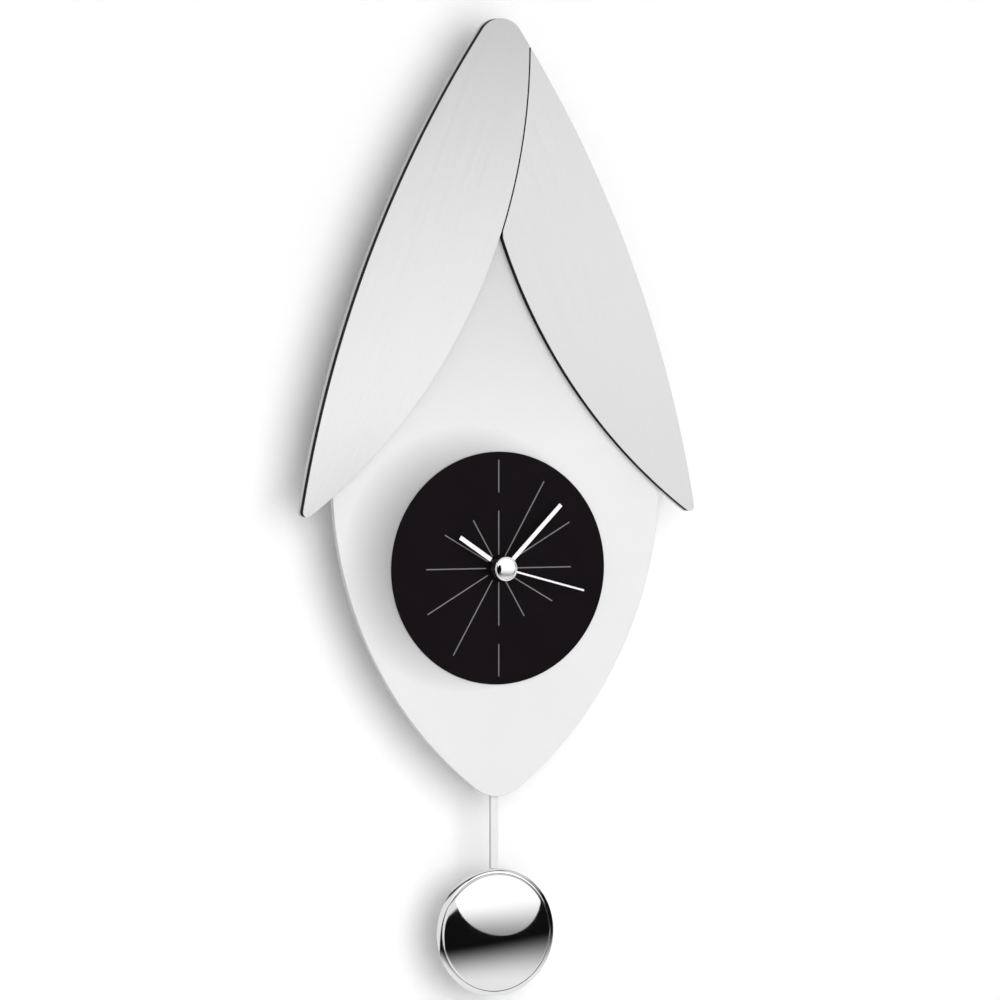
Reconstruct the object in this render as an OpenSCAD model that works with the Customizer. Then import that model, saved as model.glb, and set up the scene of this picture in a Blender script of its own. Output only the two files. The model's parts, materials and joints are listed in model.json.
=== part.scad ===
// Pendulum wall clock: an opal leaf panel under two crossed metal petals, a black dial,
// a battery movement behind it and a pendulum that swings below the leaf.
// Frame: origin at the hanging hole, in the plane of the wall. +X to the viewer's right,
// +Z up, and the front faces -Y. Every module draws in a flat frame, x across, y up from
// the dial's axis and z out from the wall, which hung() turns and hangs.

/* [Panel and petals] */
// Gap from the wall to the back of the panel
wall_gap = 30; // [29:1:40]
// Thickness of the opal panel
panel_t = 4; // [3:0.5:6]
// Thickness of the black layer of a petal
core_t = 4.6; // [3:0.2:6]
// Thickness of the metal skin of a petal
skin_t = 0.4; // [0.3:0.1:1.2]
// Radius of a petal's outer edge
outer_r = 754; // [735:1:800]
// Sideways offset of the outer edge's centre
outer_cx = 610.5; // [600:0.5:620]
// Height of the outer edge's centre
outer_cy = -92.5; // [-110:0.5:-80]
// Radius of a petal's inner edge
inner_r = 356; // [350:1:362]
// Sideways offset of the inner edge's centre
inner_cx = 337; // [332:1:342]
// Height of the inner edge's centre
inner_cy = 322; // [316:1:328]
// Radius of the rounded top
apex_r = 15; // [10:1:20]
// Radius of a petal's lower tip
petal_tip_r = 3; // [2:0.5:5]
// Width of the joint between the petals
petal_gap = 0.8; // [0.4:0.1:2]
// Radius of the leaf's side
leaf_r = 244; // [236:1:254]
// Sideways offset of the centre of the leaf's side
leaf_cx = 133; // [128:1:140]
// Height of the centre of the leaf's side
leaf_cy = 58; // [50:1:66]
// Radius of the leaf's lower tip
leaf_tip_r = 24; // [16:1:30]

/* [Dial and hands] */
// Radius of the dial
dial_r = 72; // [66:1:86]
// Thickness of the dial
dial_t = 1; // [0.6:0.1:2]
// Inner end of the hour lines
line_start_r = 8.5; // [8:0.5:14]
// Width of an hour line
line_w = 0.7; // [0.4:0.1:1.2]
// Height of an hour line above the dial
line_h = 0.1; // [0.05:0.05:0.2]
// Outer end of the twelve o'clock line
longest_line_r = 67; // [58:1:70]
// Length of the hour hand
hour_l = 35.4; // [30:0.2:44]
// Width of the hour hand
hour_w = 2.7; // [2:0.1:4]
// Inner end of the white part of the hour hand
hour_start_r = 10.2; // [7:0.1:12]
// Direction of the hour hand at rest, clockwise from twelve
hour_angle = 304; // [0:1:359]
// Length of the minute hand
minute_l = 54.6; // [45:0.2:63]
// Width of the minute hand
minute_w = 2.6; // [2:0.1:4]
// Direction of the minute hand at rest, clockwise from twelve
minute_angle = 44.5; // [0:0.5:359]
// Length of the second hand
second_l = 55.4; // [45:0.1:65]
// Width of the second hand
second_w = 1.2; // [1:0.1:2]
// Direction of the second hand at rest, clockwise from twelve
second_angle = 105; // [0:0.5:359]
// Thickness of the hands
hand_t = 0.5; // [0.3:0.1:1]
// Radius of the hub cap
hub_r = 7.6; // [6:0.1:10]
// Height of the hub cap
hub_h = 2.2; // [2:0.1:5]

/* [Movement] */
// Width of the movement's case
case_w = 60; // [60:1:66]
// Depth of the movement's case
case_d = 18; // [18:0.5:20]
// Wall of the case and of its cover
case_wall = 1.5; // [1.2:0.1:2]
// Radius of the corners of the case
case_corner_r = 4; // [2:0.5:6]
// Radius of the threaded bushing
bushing_r = 4; // [3.8:0.1:5]
// Radius of the hour wheel's tube
hour_tube_r = 2.5; // [2.3:0.1:3]
// Radius of the minute tube
minute_tube_r = 1.5; // [1.2:0.1:1.7]
// Radius of the thin arbors
arbor_r = 0.6; // [0.5:0.05:0.7]
// Clearance of an arbor in its bearing
run_gap = 0.05; // [0.02:0.01:0.1]
// Radius of the battery cell
cell_r = 7.25; // [7:0.05:7.3]
// Length of the battery cell's body
cell_l = 49.5; // [48:0.1:49.6]
// Radius of the setting knob
knob_r = 5.5; // [4:0.5:7]
// Distance between meshing arbors of the going train
train_step = 12.24; // [12.1:0.01:12.5]
// Distance between the hand arbor and the minute wheel's stud
motion_step = 9.6; // [9.4:0.05:10]

/* [Pendulum] */
// Width of the pendulum rod
rod_w = 5; // [3:0.5:6]
// Thickness of the pendulum rod
rod_t = 3; // [2:0.1:3.2]
// Drop from the dial's axis to the centre of the bob
bob_drop = 226; // [205:1:270]
// Radius of the bob
bob_r = 39.6; // [32:0.2:48]
// Width of the flat rim of the bob
bob_rim_w = 1.6; // [1:0.1:4]
// Rise of the bob's dome
bob_rise = 7.5; // [4:0.5:12]
// Thickness of the bob's sheet
bob_sheet_t = 0.6; // [0.4:0.1:1]
// Drop from the dial's axis to the pivot
pivot_drop = 37; // [36:0.5:40]
// Radius of the pivot pin
pivot_r = 1; // [0.8:0.1:1.4]
// Length of the swing arm from the pivot to the hooking peg
arm_l = 21; // [20:0.5:24]
// Width of the swing arm
arm_w = 9; // [8:0.5:12]

/* [Hanger and feet] */
// Rise from the dial's axis to the hanging hole
hang_rise = 215; // [200:1:230]
// Radius of the hanging hole
hang_hole_r = 4.5; // [4:0.25:6]
// Width of the slot above the hanging hole
hang_slot_w = 4.6; // [3.6:0.2:6]
// Length of the slot above the hanging hole
hang_slot_l = 9; // [8:0.5:12]
// Width of the hanger bracket's plate
bracket_w = 60; // [50:1:64]
// Height of the hanger bracket
bracket_h = 34; // [30:1:44]
// Thickness of the hanger bracket
bracket_t = 1.5; // [1:0.1:2]
// Width of the flange on each side of the hanger bracket
flange_w = 14; // [12:0.5:16]
// Radius of a wall foot
foot_r = 7; // [6:0.5:9]
// Thickness of a foot's rubber pad
pad_t = 2; // [1:0.25:3]
// Radius of the assembly screws
screw_r = 1.5; // [1.25:0.05:1.75]

/* [Hidden] */

// Facets of a full circle, all of them taken as true circles
$fn = 64;
// Sliver by which a cut passes the face that it opens
over = 0.5;
// Clearance of a screw in a plain hole
hole_gap = 0.1;
// Clearance of a piece pressed or screwed onto another
fit_gap = 0.02;

// Levels out from the wall
panel_front = wall_gap + panel_t;
core_front = panel_front + core_t;
dial_front = panel_front + dial_t;
washer_t = 1;
case_front = wall_gap - washer_t;
case_back = case_front - case_d;
cover_front = case_back + case_wall;
wall_back = case_front - case_wall;

// Angle brought into the range of one turn
function wrap(a) = a - 360 * floor(a / 360);
// Clockwise arc from one direction to another about a centre, without its last point
function arc(c, r, from, to, steps) =
    [for (i = [0:steps - 1]) c + polar(r, from - wrap(from - to) * i / steps)];
function polar(r, a) = r * [cos(a), sin(a)];
// Direction of one point seen from another
function bearing(a, b) = atan2(b[1] - a[1], b[0] - a[0]);
// Meeting point of two circles, on the left going from the first centre to the second
function meet(a, ra, b, rb) =
    let (d = norm(b - a), along = (ra * ra - rb * rb + d * d) / (2 * d), u = (b - a) / d)
    a + along * u + sqrt(ra * ra - along * along) * [-u[1], u[0]];
function flip(p) = [-p[0], p[1]];

// Centres of the arcs that bound the left half, and of the rounds that join them
outer_c = [outer_cx, outer_cy];
inner_c = [-inner_cx, inner_cy];
leaf_c = [leaf_cx, leaf_cy];
apex_c = [0, outer_cy + sqrt(pow(outer_r - apex_r, 2) - pow(outer_cx, 2))];
petal_tip_c = meet(outer_c, outer_r - petal_tip_r, inner_c, inner_r - petal_tip_r);
leaf_tip_c = [0, leaf_cy - sqrt(pow(leaf_r - leaf_tip_r, 2) - pow(leaf_cx, 2))];
apex_turn = bearing(outer_c, apex_c);
shoulder = meet(inner_c, inner_r, flip(outer_c), outer_r);
notch = meet(leaf_c, leaf_r, inner_c, inner_r);
long_steps = 36;
short_steps = 10;

// Edges of the left half, each clockwise
outer_edge = arc(outer_c, outer_r, bearing(outer_c, petal_tip_c), apex_turn, long_steps);
tip_round = arc(petal_tip_c, petal_tip_r, bearing(inner_c, petal_tip_c), bearing(outer_c, petal_tip_c), short_steps);
petal_outline = concat(
    outer_edge,
    arc(apex_c, apex_r, apex_turn, 180 - apex_turn, 2 * short_steps),
    arc(flip(outer_c), outer_r, 180 - apex_turn, bearing(flip(outer_c), shoulder), 2),
    arc(inner_c, inner_r, bearing(inner_c, shoulder), bearing(inner_c, petal_tip_c), long_steps),
    tip_round);
// Left half of the panel, from the leaf's lower tip up to the top
panel_half = concat(
    arc(leaf_tip_c, leaf_tip_r, 270, bearing(leaf_c, leaf_tip_c), short_steps),
    arc(leaf_c, leaf_r, bearing(leaf_c, leaf_tip_c), bearing(leaf_c, notch), long_steps),
    arc(inner_c, inner_r, bearing(inner_c, notch), bearing(inner_c, petal_tip_c), 4),
    tip_round,
    outer_edge,
    arc(apex_c, apex_r, apex_turn, 90, short_steps));
panel_top = apex_c + [0, apex_r];
panel_outline = concat(panel_half, [panel_top], [for (i = [len(panel_half) - 1:-1:1]) flip(panel_half[i])]);

// Screws that hold each petal, and the feet
petal_screw_spots = [[28, 290], [66, 150]];
foot_spot = [98, 75];
screw_head_r = 2.8;
screw_head_h = 2;
screw_reach = core_front - 1.4;
bracket_screw_x = bracket_w / 2 + flange_w / 2;
bracket_screw_y = 9;

// Heights of the hands and of their tubes, out from the wall
nut_h = 2.2;
bushing_end = dial_front + nut_h + 3.1;
hour_level = bushing_end + 0.8;
collet_h = 1;
minute_level = hour_level + collet_h + hand_t + 0.8;
second_level = minute_level + hand_t + 0.7;
hub_level = second_level + hand_t;
hour_tube_end = hour_level + collet_h + 0.4;
minute_tube_end = minute_level + hand_t + 0.4;

// Case: the axis stands below the battery bay, and the pendulum drive is a box under it
case_top = 34;
case_bottom = -30;
bay_floor = case_top - case_wall - 2 * cell_r - 1;
drive_w = 40;
drive_bottom = -64;
drive_front = case_back + 11;
cell_spot_y = case_top - case_wall - 0.5 - cell_r;
cell_level = case_back + 1.35 + cell_r;
bay_end = case_w / 2 - case_wall;
cover_screw_spots = [[26, 13], [-26, 13], [17, -60], [-17, -60]];
cover_screw_r = 1;
boss_r = 2.4;
bearing_h = 1.5;
bearing_r = 1.9;
blind = 0.9;
arbor_back = cover_front - blind + 0.1;
arbor_front = wall_back - 0.4;

// Gear train: tooth numbers, and arbors around the hand arbor
rotor_teeth = 8;
idler_teeth = 48;
idler_pinion_teeth = 8;
seconds_teeth = 40;
seconds_pinion_teeth = 8;
third_teeth = 60;
third_pinion_teeth = 8;
centre_teeth = 64;
cannon_teeth = 12;
minute_teeth = 36;
minute_pinion_teeth = 10;
hour_teeth = 40;
knob_teeth = 12;
function mesh_size(step, a, b) = 2 * step / (a + b);
rotor_bearing = 250;
knob_bearing = 300;
rotor_step = train_step + 0.08;
third_spot = [train_step, 0];
idler_spot = [-train_step, 0];
rotor_spot = idler_spot + polar(rotor_step, rotor_bearing);
stud_spot = [0, -motion_step];
knob_step = mesh_size(motion_step, cannon_teeth, minute_teeth) * (minute_teeth + knob_teeth) / 2;
knob_spot = stud_spot + polar(knob_step, knob_bearing);
stud_r = 0.8;
knob_arbor_r = 0.9;
wheel_t = 0.8;
// Levels of the wheels, out from the inside of the cover
idler_level = cover_front + 0.8;
seconds_level = cover_front + 2;
third_level = cover_front + 4.1;
centre_level = cover_front + 6.5;
motion_level = cover_front + 8.5;
hour_wheel_level = cover_front + 10.5;

// Motor: stator plate around the rotor, with a coil across its legs
stator_level = cover_front + 4.5;
stator_t = 0.8;
stator_w = 19;
magnet_r = 3;
coil_y = -23.5;
coil_r = 3;
coil_l = 12;

// Pendulum: arm in front of the drive box, rod behind the panel
arm_back = drive_front + 0.6;
arm_t = 2.4;
arm_front = arm_back + arm_t;
peg_drop = pivot_drop + arm_l;
peg_r = 1.2;
rod_back = arm_front + 0.7;
rod_front = rod_back + rod_t;
rod_eye_r = 3.2;
rod_end = bob_drop + 16;
drive_coil_drop = pivot_drop + 14;
bob_back_t = 0.8;
bob_level = rod_front + bob_back_t;
bob_step = 0.9;
clamp_w = 16;
clamp_h = 12;
clamp_t = 0.8;
clamp_screw_x = 5.5;

module hung() {
    translate([0, 0, -hang_rise]) rotate([90, 0, 0]) children();
}
// Plate between two levels
module slab(from, to) {
    translate([0, 0, from]) linear_extrude(to - from) children();
}
// Round bar between two levels
module bar(r, from, to, spot = [0, 0]) {
    translate([spot[0], spot[1], from]) cylinder(h = to - from, r = r);
}
module both_sides() {
    children();
    mirror([1, 0, 0]) children();
}
// Toothed outline whose first tooth points along a direction
module gear(teeth, size, turn) {
    pitch_r = teeth * size / 2;
    step = 360 / teeth;
    polygon([for (i = [0:teeth - 1]) for (p = [[-0.25, -1.1], [-0.09, 0.75], [0.09, 0.75], [0.25, -1.1]])
        polar(pitch_r + p[1] * size, turn + (i + p[0]) * step)]);
}
// Outline whose tooth gap points along a direction, to take the mate's tooth
module mating_gear(teeth, size, turn) {
    gear(teeth, size, turn + 180 / teeth);
}
// Hand blade pointing in a clock direction
module blade(from_r, to_r, w, angle) {
    rotate(90 - angle) translate([from_r, -w / 2]) square([to_r - from_r, w]);
}
module screw(spot, head_level, head_r, head_h, r, to) {
    bar(head_r, head_level - head_h, head_level, spot);
    bar(r, head_level - over, to, spot);
}

module right_petal_2d() {
    difference() {
        mirror([1, 0]) polygon(petal_outline);
        translate(inner_c) circle(r = inner_r + petal_gap, $fn = 360);
    }
}

module back_panel() {
    color([0.93, 0.93, 0.91]) hung() difference() {
        slab(wall_gap, panel_front) polygon(panel_outline);
        bar(bushing_r + hole_gap, wall_gap - over, panel_front + over);
        both_sides() {
            for (spot = petal_screw_spots) {
                bar(screw_r + hole_gap, wall_gap - over, panel_front + over, spot);
            }
            bar(screw_r + hole_gap, wall_gap - over, panel_front + over, foot_spot);
            for (s = [-1, 1]) {
                bar(screw_r + hole_gap, wall_gap - over, panel_front + over,
                    [bracket_screw_x, hang_rise + s * bracket_screw_y]);
            }
        }
    }
}
// Blind holes in a core for the screws on the right side
module core_holes() {
    for (spot = petal_screw_spots) {
        bar(screw_r + fit_gap, panel_front - over, screw_reach + hole_gap, spot);
    }
    bar(screw_r + fit_gap, panel_front - over, screw_reach + hole_gap, foot_spot);
    for (s = [-1, 1]) {
        bar(screw_r + fit_gap, panel_front - over, screw_reach + hole_gap,
            [bracket_screw_x, hang_rise + s * bracket_screw_y]);
    }
}
module petal_core_left() {
    color([0.05, 0.04, 0.04]) hung() difference() {
        slab(panel_front, core_front) polygon(petal_outline);
        mirror([1, 0, 0]) core_holes();
    }
}
module petal_core_right() {
    color([0.05, 0.04, 0.04]) hung() difference() {
        slab(panel_front, core_front) right_petal_2d();
        core_holes();
    }
}
module petal_skin_left() {
    color([0.85, 0.85, 0.86]) hung() slab(core_front, core_front + skin_t) polygon(petal_outline);
}
module petal_skin_right() {
    color([0.82, 0.82, 0.83]) hung() slab(core_front, core_front + skin_t) right_petal_2d();
}

module dial_plate() {
    color([0.09, 0.085, 0.09]) hung() difference() {
        bar(dial_r, panel_front, dial_front, $fn = 180);
        bar(bushing_r + hole_gap, panel_front - over, dial_front + over);
    }
}
// Two runs of lines, each shorter than the last: six from twelve, six from six
line_step = 5.5;
line_drop = 0.5;
function line_r(i) = longest_line_r - i * line_step - line_drop * i * (i - 1) / 2;
plain_from = 0.53 * longest_line_r;
plain_to = 0.7 * longest_line_r;
module hour_lines() {
    color([0.6, 0.6, 0.6]) hung() slab(dial_front, dial_front + line_h) for (half = [0, 180]) {
        for (i = [1:5]) blade(line_start_r, line_r(i), line_w, half + i * 30);
        blade(line_start_r, plain_from, line_w, half);
        blade(plain_to, longest_line_r, line_w, half);
    }
}
module threaded_bushing() {
    color([0.75, 0.62, 0.3]) hung() difference() {
        union() {
            bar(bushing_r + 2, wall_back - bearing_h, wall_back);
            bar(bushing_r, wall_back - bearing_h, bushing_end);
        }
        bar(hour_tube_r + run_gap, wall_back - bearing_h - over, bushing_end + over);
    }
}
module seat_washer() {
    color([0.1, 0.1, 0.1]) hung() difference() {
        bar(bushing_r + 8, case_front, wall_gap);
        bar(bushing_r + hole_gap, case_front - over, wall_gap + over);
    }
}
module fixing_nut() {
    color([0.07, 0.07, 0.07]) hung() difference() {
        translate([0, 0, dial_front]) cylinder(h = nut_h, r = bushing_r + 2.4, $fn = 6);
        bar(bushing_r + fit_gap, dial_front - over, dial_front + nut_h + over);
    }
}

// Case outline: rounded main box and the drive box under it
module rounded_rect(x0, y0, x1, y1, r) {
    for (x = [x0 + r, x1 - r]) for (y = [y0 + r, y1 - r]) translate([x, y]) circle(r = r);
    translate([x0 + r, y0]) square([x1 - x0 - 2 * r, y1 - y0]);
    translate([x0, y0 + r]) square([x1 - x0, y1 - y0 - 2 * r]);
}
module box_2d(inset, y0, y1, w) {
    translate([-w / 2 + inset, y0]) square([w - 2 * inset, y1 - y0]);
}
module bearing_boss(spot) {
    bar(bearing_r, wall_back - bearing_h, wall_back + over, spot);
}
module bearing_hole(spot, r) {
    bar(r + run_gap, wall_back - bearing_h - over, arbor_front + 0.2, spot);
}
module movement_case() {
    color([0.12, 0.12, 0.13]) hung() difference() {
        union() {
            difference() {
                slab(cover_front, case_front)
                    rounded_rect(-case_w / 2, case_bottom, case_w / 2, case_top, case_corner_r);
                slab(cover_front - over, wall_back)
                    box_2d(case_wall, case_bottom + case_wall, bay_floor - case_wall, case_w);
                slab(cover_front - over, wall_back) box_2d(case_wall, bay_floor, case_top - case_wall, case_w);
            }
            difference() {
                slab(cover_front, drive_front) box_2d(0, drive_bottom, case_bottom + over, drive_w);
                slab(cover_front - over, drive_front - case_wall)
                    box_2d(case_wall, drive_bottom + case_wall, case_bottom, drive_w);
            }
            for (spot = [idler_spot, third_spot, rotor_spot, knob_spot]) bearing_boss(spot);
            bar(stud_r, motion_level - 0.6, wall_back + over, stud_spot);
            bar(stud_r + 0.7, hour_wheel_level + 2, wall_back + over, stud_spot);
            for (spot = cover_screw_spots) {
                bar(boss_r, cover_front, (spot[1] > 0 ? wall_back : drive_front - case_wall) + over, spot);
            }
            for (x = stator_legs) bar(1.4, stator_level + stator_t, wall_back + over, [x, coil_y]);
            for (spot = board_posts) bar(1.5, board_level + board_t, wall_back + over, spot);
            bar(3, drive_front - 7.5, drive_front - over, [0, -drive_coil_drop]);
        }
        bar(bushing_r + hole_gap, wall_back - over, case_front + over);
        for (spot = [idler_spot, third_spot, rotor_spot]) bearing_hole(spot, arbor_r);
        bearing_hole(knob_spot, knob_arbor_r);
        for (spot = cover_screw_spots) bar(cover_screw_r + fit_gap, cover_front - over, cover_front + 6, spot);
        bar(pivot_r + fit_gap, drive_front - 1, drive_front + over, [0, -pivot_drop]);
    }
}
module rear_cover() {
    color([0.14, 0.14, 0.15]) hung() difference() {
        union() {
            slab(case_back, cover_front) box_2d(0, case_bottom, bay_floor - case_wall / 2, case_w);
            slab(case_back, cover_front) box_2d(0, drive_bottom, case_bottom + over, drive_w);
        }
        for (spot = [idler_spot, third_spot, rotor_spot, [0, 0]]) {
            bar(arbor_r + run_gap, cover_front - blind, cover_front + over, spot);
        }
        bar(knob_arbor_r + run_gap, case_back - over, cover_front + over, knob_spot);
        for (spot = cover_screw_spots) bar(cover_screw_r + hole_gap, case_back - over, cover_front + over, spot);
    }
}
module cover_screws() {
    color([0.6, 0.6, 0.62]) hung() for (spot = cover_screw_spots) {
        screw(spot, case_back, 2 * cover_screw_r, 1.2, cover_screw_r, cover_front + 5);
    }
}

// Battery cell lying across the bay, with a contact at each end
cell_x = -cell_l / 2 + 0.1;
cell_nub = 1;
contact_t = 0.4;
module along_x(x) {
    translate([x, cell_spot_y, cell_level]) rotate([0, 90, 0]) children();
}
module battery_cell() {
    color([0.2, 0.3, 0.5]) hung() {
        along_x(cell_x) cylinder(h = cell_l, r = cell_r);
        along_x(cell_x + cell_l - over) cylinder(h = cell_nub + over, r = 2.7);
    }
}
module contact_plate(x) {
    translate([x, cell_spot_y - 5, cell_level - 5]) cube([contact_t, 10, 10]);
}
module plus_contact() {
    dimple_x = cell_x + cell_l + cell_nub + 0.05;
    color([0.8, 0.8, 0.8]) hung() {
        contact_plate(bay_end - contact_t);
        along_x(dimple_x) cylinder(h = bay_end - dimple_x - contact_t / 2, r = 2);
    }
}
module minus_contact() {
    color([0.8, 0.8, 0.8]) hung() {
        contact_plate(-bay_end);
        along_x(-bay_end + contact_t / 2) difference() {
            cylinder(h = cell_x + bay_end - contact_t / 2 - 0.05, r1 = 4.6, r2 = 3.2);
            translate([0, 0, -over]) cylinder(h = 12, r = 2.4);
        }
    }
}

// Electronics
board_level = wall_back - 2.5;
board_t = 1;
board_posts = [[10.5, -24.5], [24.5, -15.5]];
module circuit_board() {
    color([0.1, 0.4, 0.2]) hung() slab(board_level, board_level + board_t)
        translate([8.5, -27]) square([18, 13.5]);
}
module quartz_crystal() {
    color([0.75, 0.75, 0.78]) hung() translate([10, -17, board_level - 1]) rotate([0, 90, 0])
        cylinder(h = 6, r = 1);
}
module timer_chip() {
    color([0.05, 0.05, 0.05]) hung() bar(2.8, board_level - 1, board_level, [21, -21.5]);
}
stator_x = rotor_spot[0];
stator_legs = [stator_x - stator_w / 2 + 1.5, stator_x + stator_w / 2 - 1.5];
module motor_stator() {
    color([0.55, 0.55, 0.57]) hung() difference() {
        union() {
            slab(stator_level, stator_level + stator_t) union() {
                translate([stator_x - stator_w / 2, rotor_spot[1] - 4.5]) square([stator_w, 9]);
                for (x = stator_legs) translate([x - 1.5, coil_y - 1.5]) square([3, rotor_spot[1] - coil_y]);
            }
            translate([stator_legs[0], coil_y, stator_level + stator_t / 2]) rotate([0, 90, 0])
                cylinder(h = stator_legs[1] - stator_legs[0], r = stator_t / 2);
        }
        bar(magnet_r + 0.4, stator_level - over, stator_level + stator_t + over, rotor_spot);
    }
}
module motor_coil() {
    color([0.7, 0.35, 0.2]) hung()
        translate([stator_x - coil_l / 2, coil_y, stator_level + stator_t / 2]) rotate([0, 90, 0])
            difference() {
                cylinder(h = coil_l, r = coil_r);
                translate([0, 0, -over]) cylinder(h = coil_l + 2 * over, r = stator_t / 2 + fit_gap);
            }
}
module drive_coil() {
    color([0.7, 0.35, 0.2]) hung() difference() {
        bar(7.5, drive_front - 7, drive_front - case_wall, [0, -drive_coil_drop]);
        bar(3 + fit_gap, drive_front - 7 - over, drive_front, [0, -drive_coil_drop]);
    }
}

// Going train, from the rotor to the centre wheel
rotor_size = mesh_size(rotor_step, rotor_teeth, idler_teeth);
idler_size = mesh_size(train_step, idler_pinion_teeth, seconds_teeth);
third_size = mesh_size(train_step, seconds_pinion_teeth, third_teeth);
centre_size = mesh_size(train_step, third_pinion_teeth, centre_teeth);
motion_size = mesh_size(motion_step, cannon_teeth, minute_teeth);
hour_size = mesh_size(motion_step, minute_pinion_teeth, hour_teeth);
module wheel(spot, level, t) {
    translate([spot[0], spot[1], level]) linear_extrude(t) children();
}
module rotor() {
    color([0.9, 0.9, 0.85]) hung() {
        wheel(rotor_spot, idler_level - 0.3, 1.5) mating_gear(rotor_teeth, rotor_size, rotor_bearing + 180);
        bar(magnet_r, stator_level - 1.2, stator_level + 2, rotor_spot);
        bar(arbor_r, arbor_back, arbor_front, rotor_spot);
    }
}
module idler_wheel() {
    color([0.9, 0.9, 0.85]) hung() {
        wheel(idler_spot, idler_level, 0.6) gear(idler_teeth, rotor_size, rotor_bearing);
        wheel(idler_spot, idler_level + 0.6, 2.2) gear(idler_pinion_teeth, idler_size, 0);
        bar(arbor_r, arbor_back, arbor_front, idler_spot);
    }
}
module seconds_wheel() {
    color([0.95, 0.95, 0.9]) hung() {
        wheel([0, 0], seconds_level, wheel_t) mating_gear(seconds_teeth, idler_size, 180);
        wheel([0, 0], seconds_level + wheel_t, 2.6) gear(seconds_pinion_teeth, third_size, 0);
        bar(arbor_r, arbor_back, hub_level + 1.2);
    }
}
module third_wheel() {
    color([0.95, 0.95, 0.9]) hung() {
        wheel(third_spot, third_level, wheel_t) mating_gear(third_teeth, third_size, 180);
        wheel(third_spot, third_level + wheel_t, 2.8) gear(third_pinion_teeth, centre_size, 180);
        bar(arbor_r, arbor_back, arbor_front, third_spot);
    }
}
module centre_wheel() {
    color([0.85, 0.72, 0.35]) hung() difference() {
        union() {
            wheel([0, 0], centre_level, wheel_t) mating_gear(centre_teeth, centre_size, 0);
            bar(3, centre_level - 0.3, centre_level + wheel_t + 0.3);
        }
        bar(minute_tube_r + run_gap, centre_level - over, centre_level + wheel_t + 2 * over);
    }
}
module minute_arbor() {
    color([0.85, 0.72, 0.35]) hung() difference() {
        union() {
            wheel([0, 0], motion_level - 0.4, 1.8) gear(cannon_teeth, motion_size, 270);
            bar(minute_tube_r, centre_level - 0.2, minute_tube_end);
        }
        bar(arbor_r + run_gap, centre_level - over, minute_tube_end + over);
    }
}
module minute_wheel() {
    color([0.95, 0.95, 0.9]) hung() difference() {
        union() {
            wheel(stud_spot, motion_level, wheel_t) mating_gear(minute_teeth, motion_size, 90);
            wheel(stud_spot, motion_level + wheel_t, 2.8) gear(minute_pinion_teeth, hour_size, 90);
        }
        bar(stud_r + run_gap, motion_level - over, motion_level + 5, stud_spot);
    }
}
module hour_wheel() {
    color([0.95, 0.95, 0.9]) hung() difference() {
        union() {
            wheel([0, 0], hour_wheel_level, 1) mating_gear(hour_teeth, hour_size, 270);
            bar(hour_tube_r, hour_wheel_level - 0.4, hour_tube_end);
        }
        bar(minute_tube_r + run_gap, hour_wheel_level - over - 0.4, hour_tube_end + over);
    }
}
module set_knob() {
    color([0.15, 0.15, 0.16]) hung() {
        wheel(knob_spot, motion_level - 0.1, 1) gear(knob_teeth, motion_size, knob_bearing + 180);
        bar(knob_arbor_r, case_back - 2, arbor_front, knob_spot);
        translate([knob_spot[0], knob_spot[1], case_back - 3.5]) linear_extrude(3) difference() {
            circle(r = knob_r);
            for (i = [0:15]) rotate(i * 22.5) translate([knob_r, 0]) circle(r = 0.4);
        }
    }
}

// Hands
module hour_collet() {
    color([0.06, 0.06, 0.06]) hung() difference() {
        union() {
            bar(hour_tube_r + 2, hour_level, hour_level + collet_h);
            slab(hour_level + collet_h - hand_t, hour_level + collet_h)
                blade(0, hour_start_r + 3, hour_w - 0.9, hour_angle);
        }
        bar(hour_tube_r + fit_gap, hour_level - over, hour_level + collet_h + over);
    }
}
module hour_hand() {
    color([0.96, 0.96, 0.96]) hung() slab(hour_level + collet_h, hour_level + collet_h + hand_t)
        blade(hour_start_r, hour_l, hour_w, hour_angle);
}
module minute_hand() {
    color([0.96, 0.96, 0.96]) hung() difference() {
        union() {
            bar(minute_tube_r + 1.8, minute_level - 0.6, minute_level + hand_t);
            slab(minute_level, minute_level + hand_t) blade(0, minute_l, minute_w, minute_angle);
        }
        bar(minute_tube_r + fit_gap, minute_level - 2 * over, minute_level + hand_t + over);
    }
}
module second_hand() {
    color([0.97, 0.97, 0.97]) hung() difference() {
        union() {
            bar(arbor_r + 1.9, second_level, second_level + hand_t);
            slab(second_level, second_level + hand_t) blade(0, second_l, second_w, second_angle);
        }
        bar(arbor_r + fit_gap, second_level - over, second_level + hand_t + over);
    }
}
hub_edge_t = 0.8;
module hub_cap() {
    dome_h = hub_h - hub_edge_t;
    dome_r = (hub_r * hub_r + dome_h * dome_h) / (2 * dome_h);
    color([0.85, 0.85, 0.87]) hung() difference() {
        union() {
            bar(hub_r, hub_level, hub_level + hub_edge_t);
            intersection() {
                bar(hub_r, hub_level + hub_edge_t / 2, hub_level + hub_h + over);
                translate([0, 0, hub_level + hub_h - dome_r]) sphere(r = dome_r);
            }
        }
        bar(arbor_r + fit_gap, hub_level - over, hub_level + 1.3);
    }
}

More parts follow.
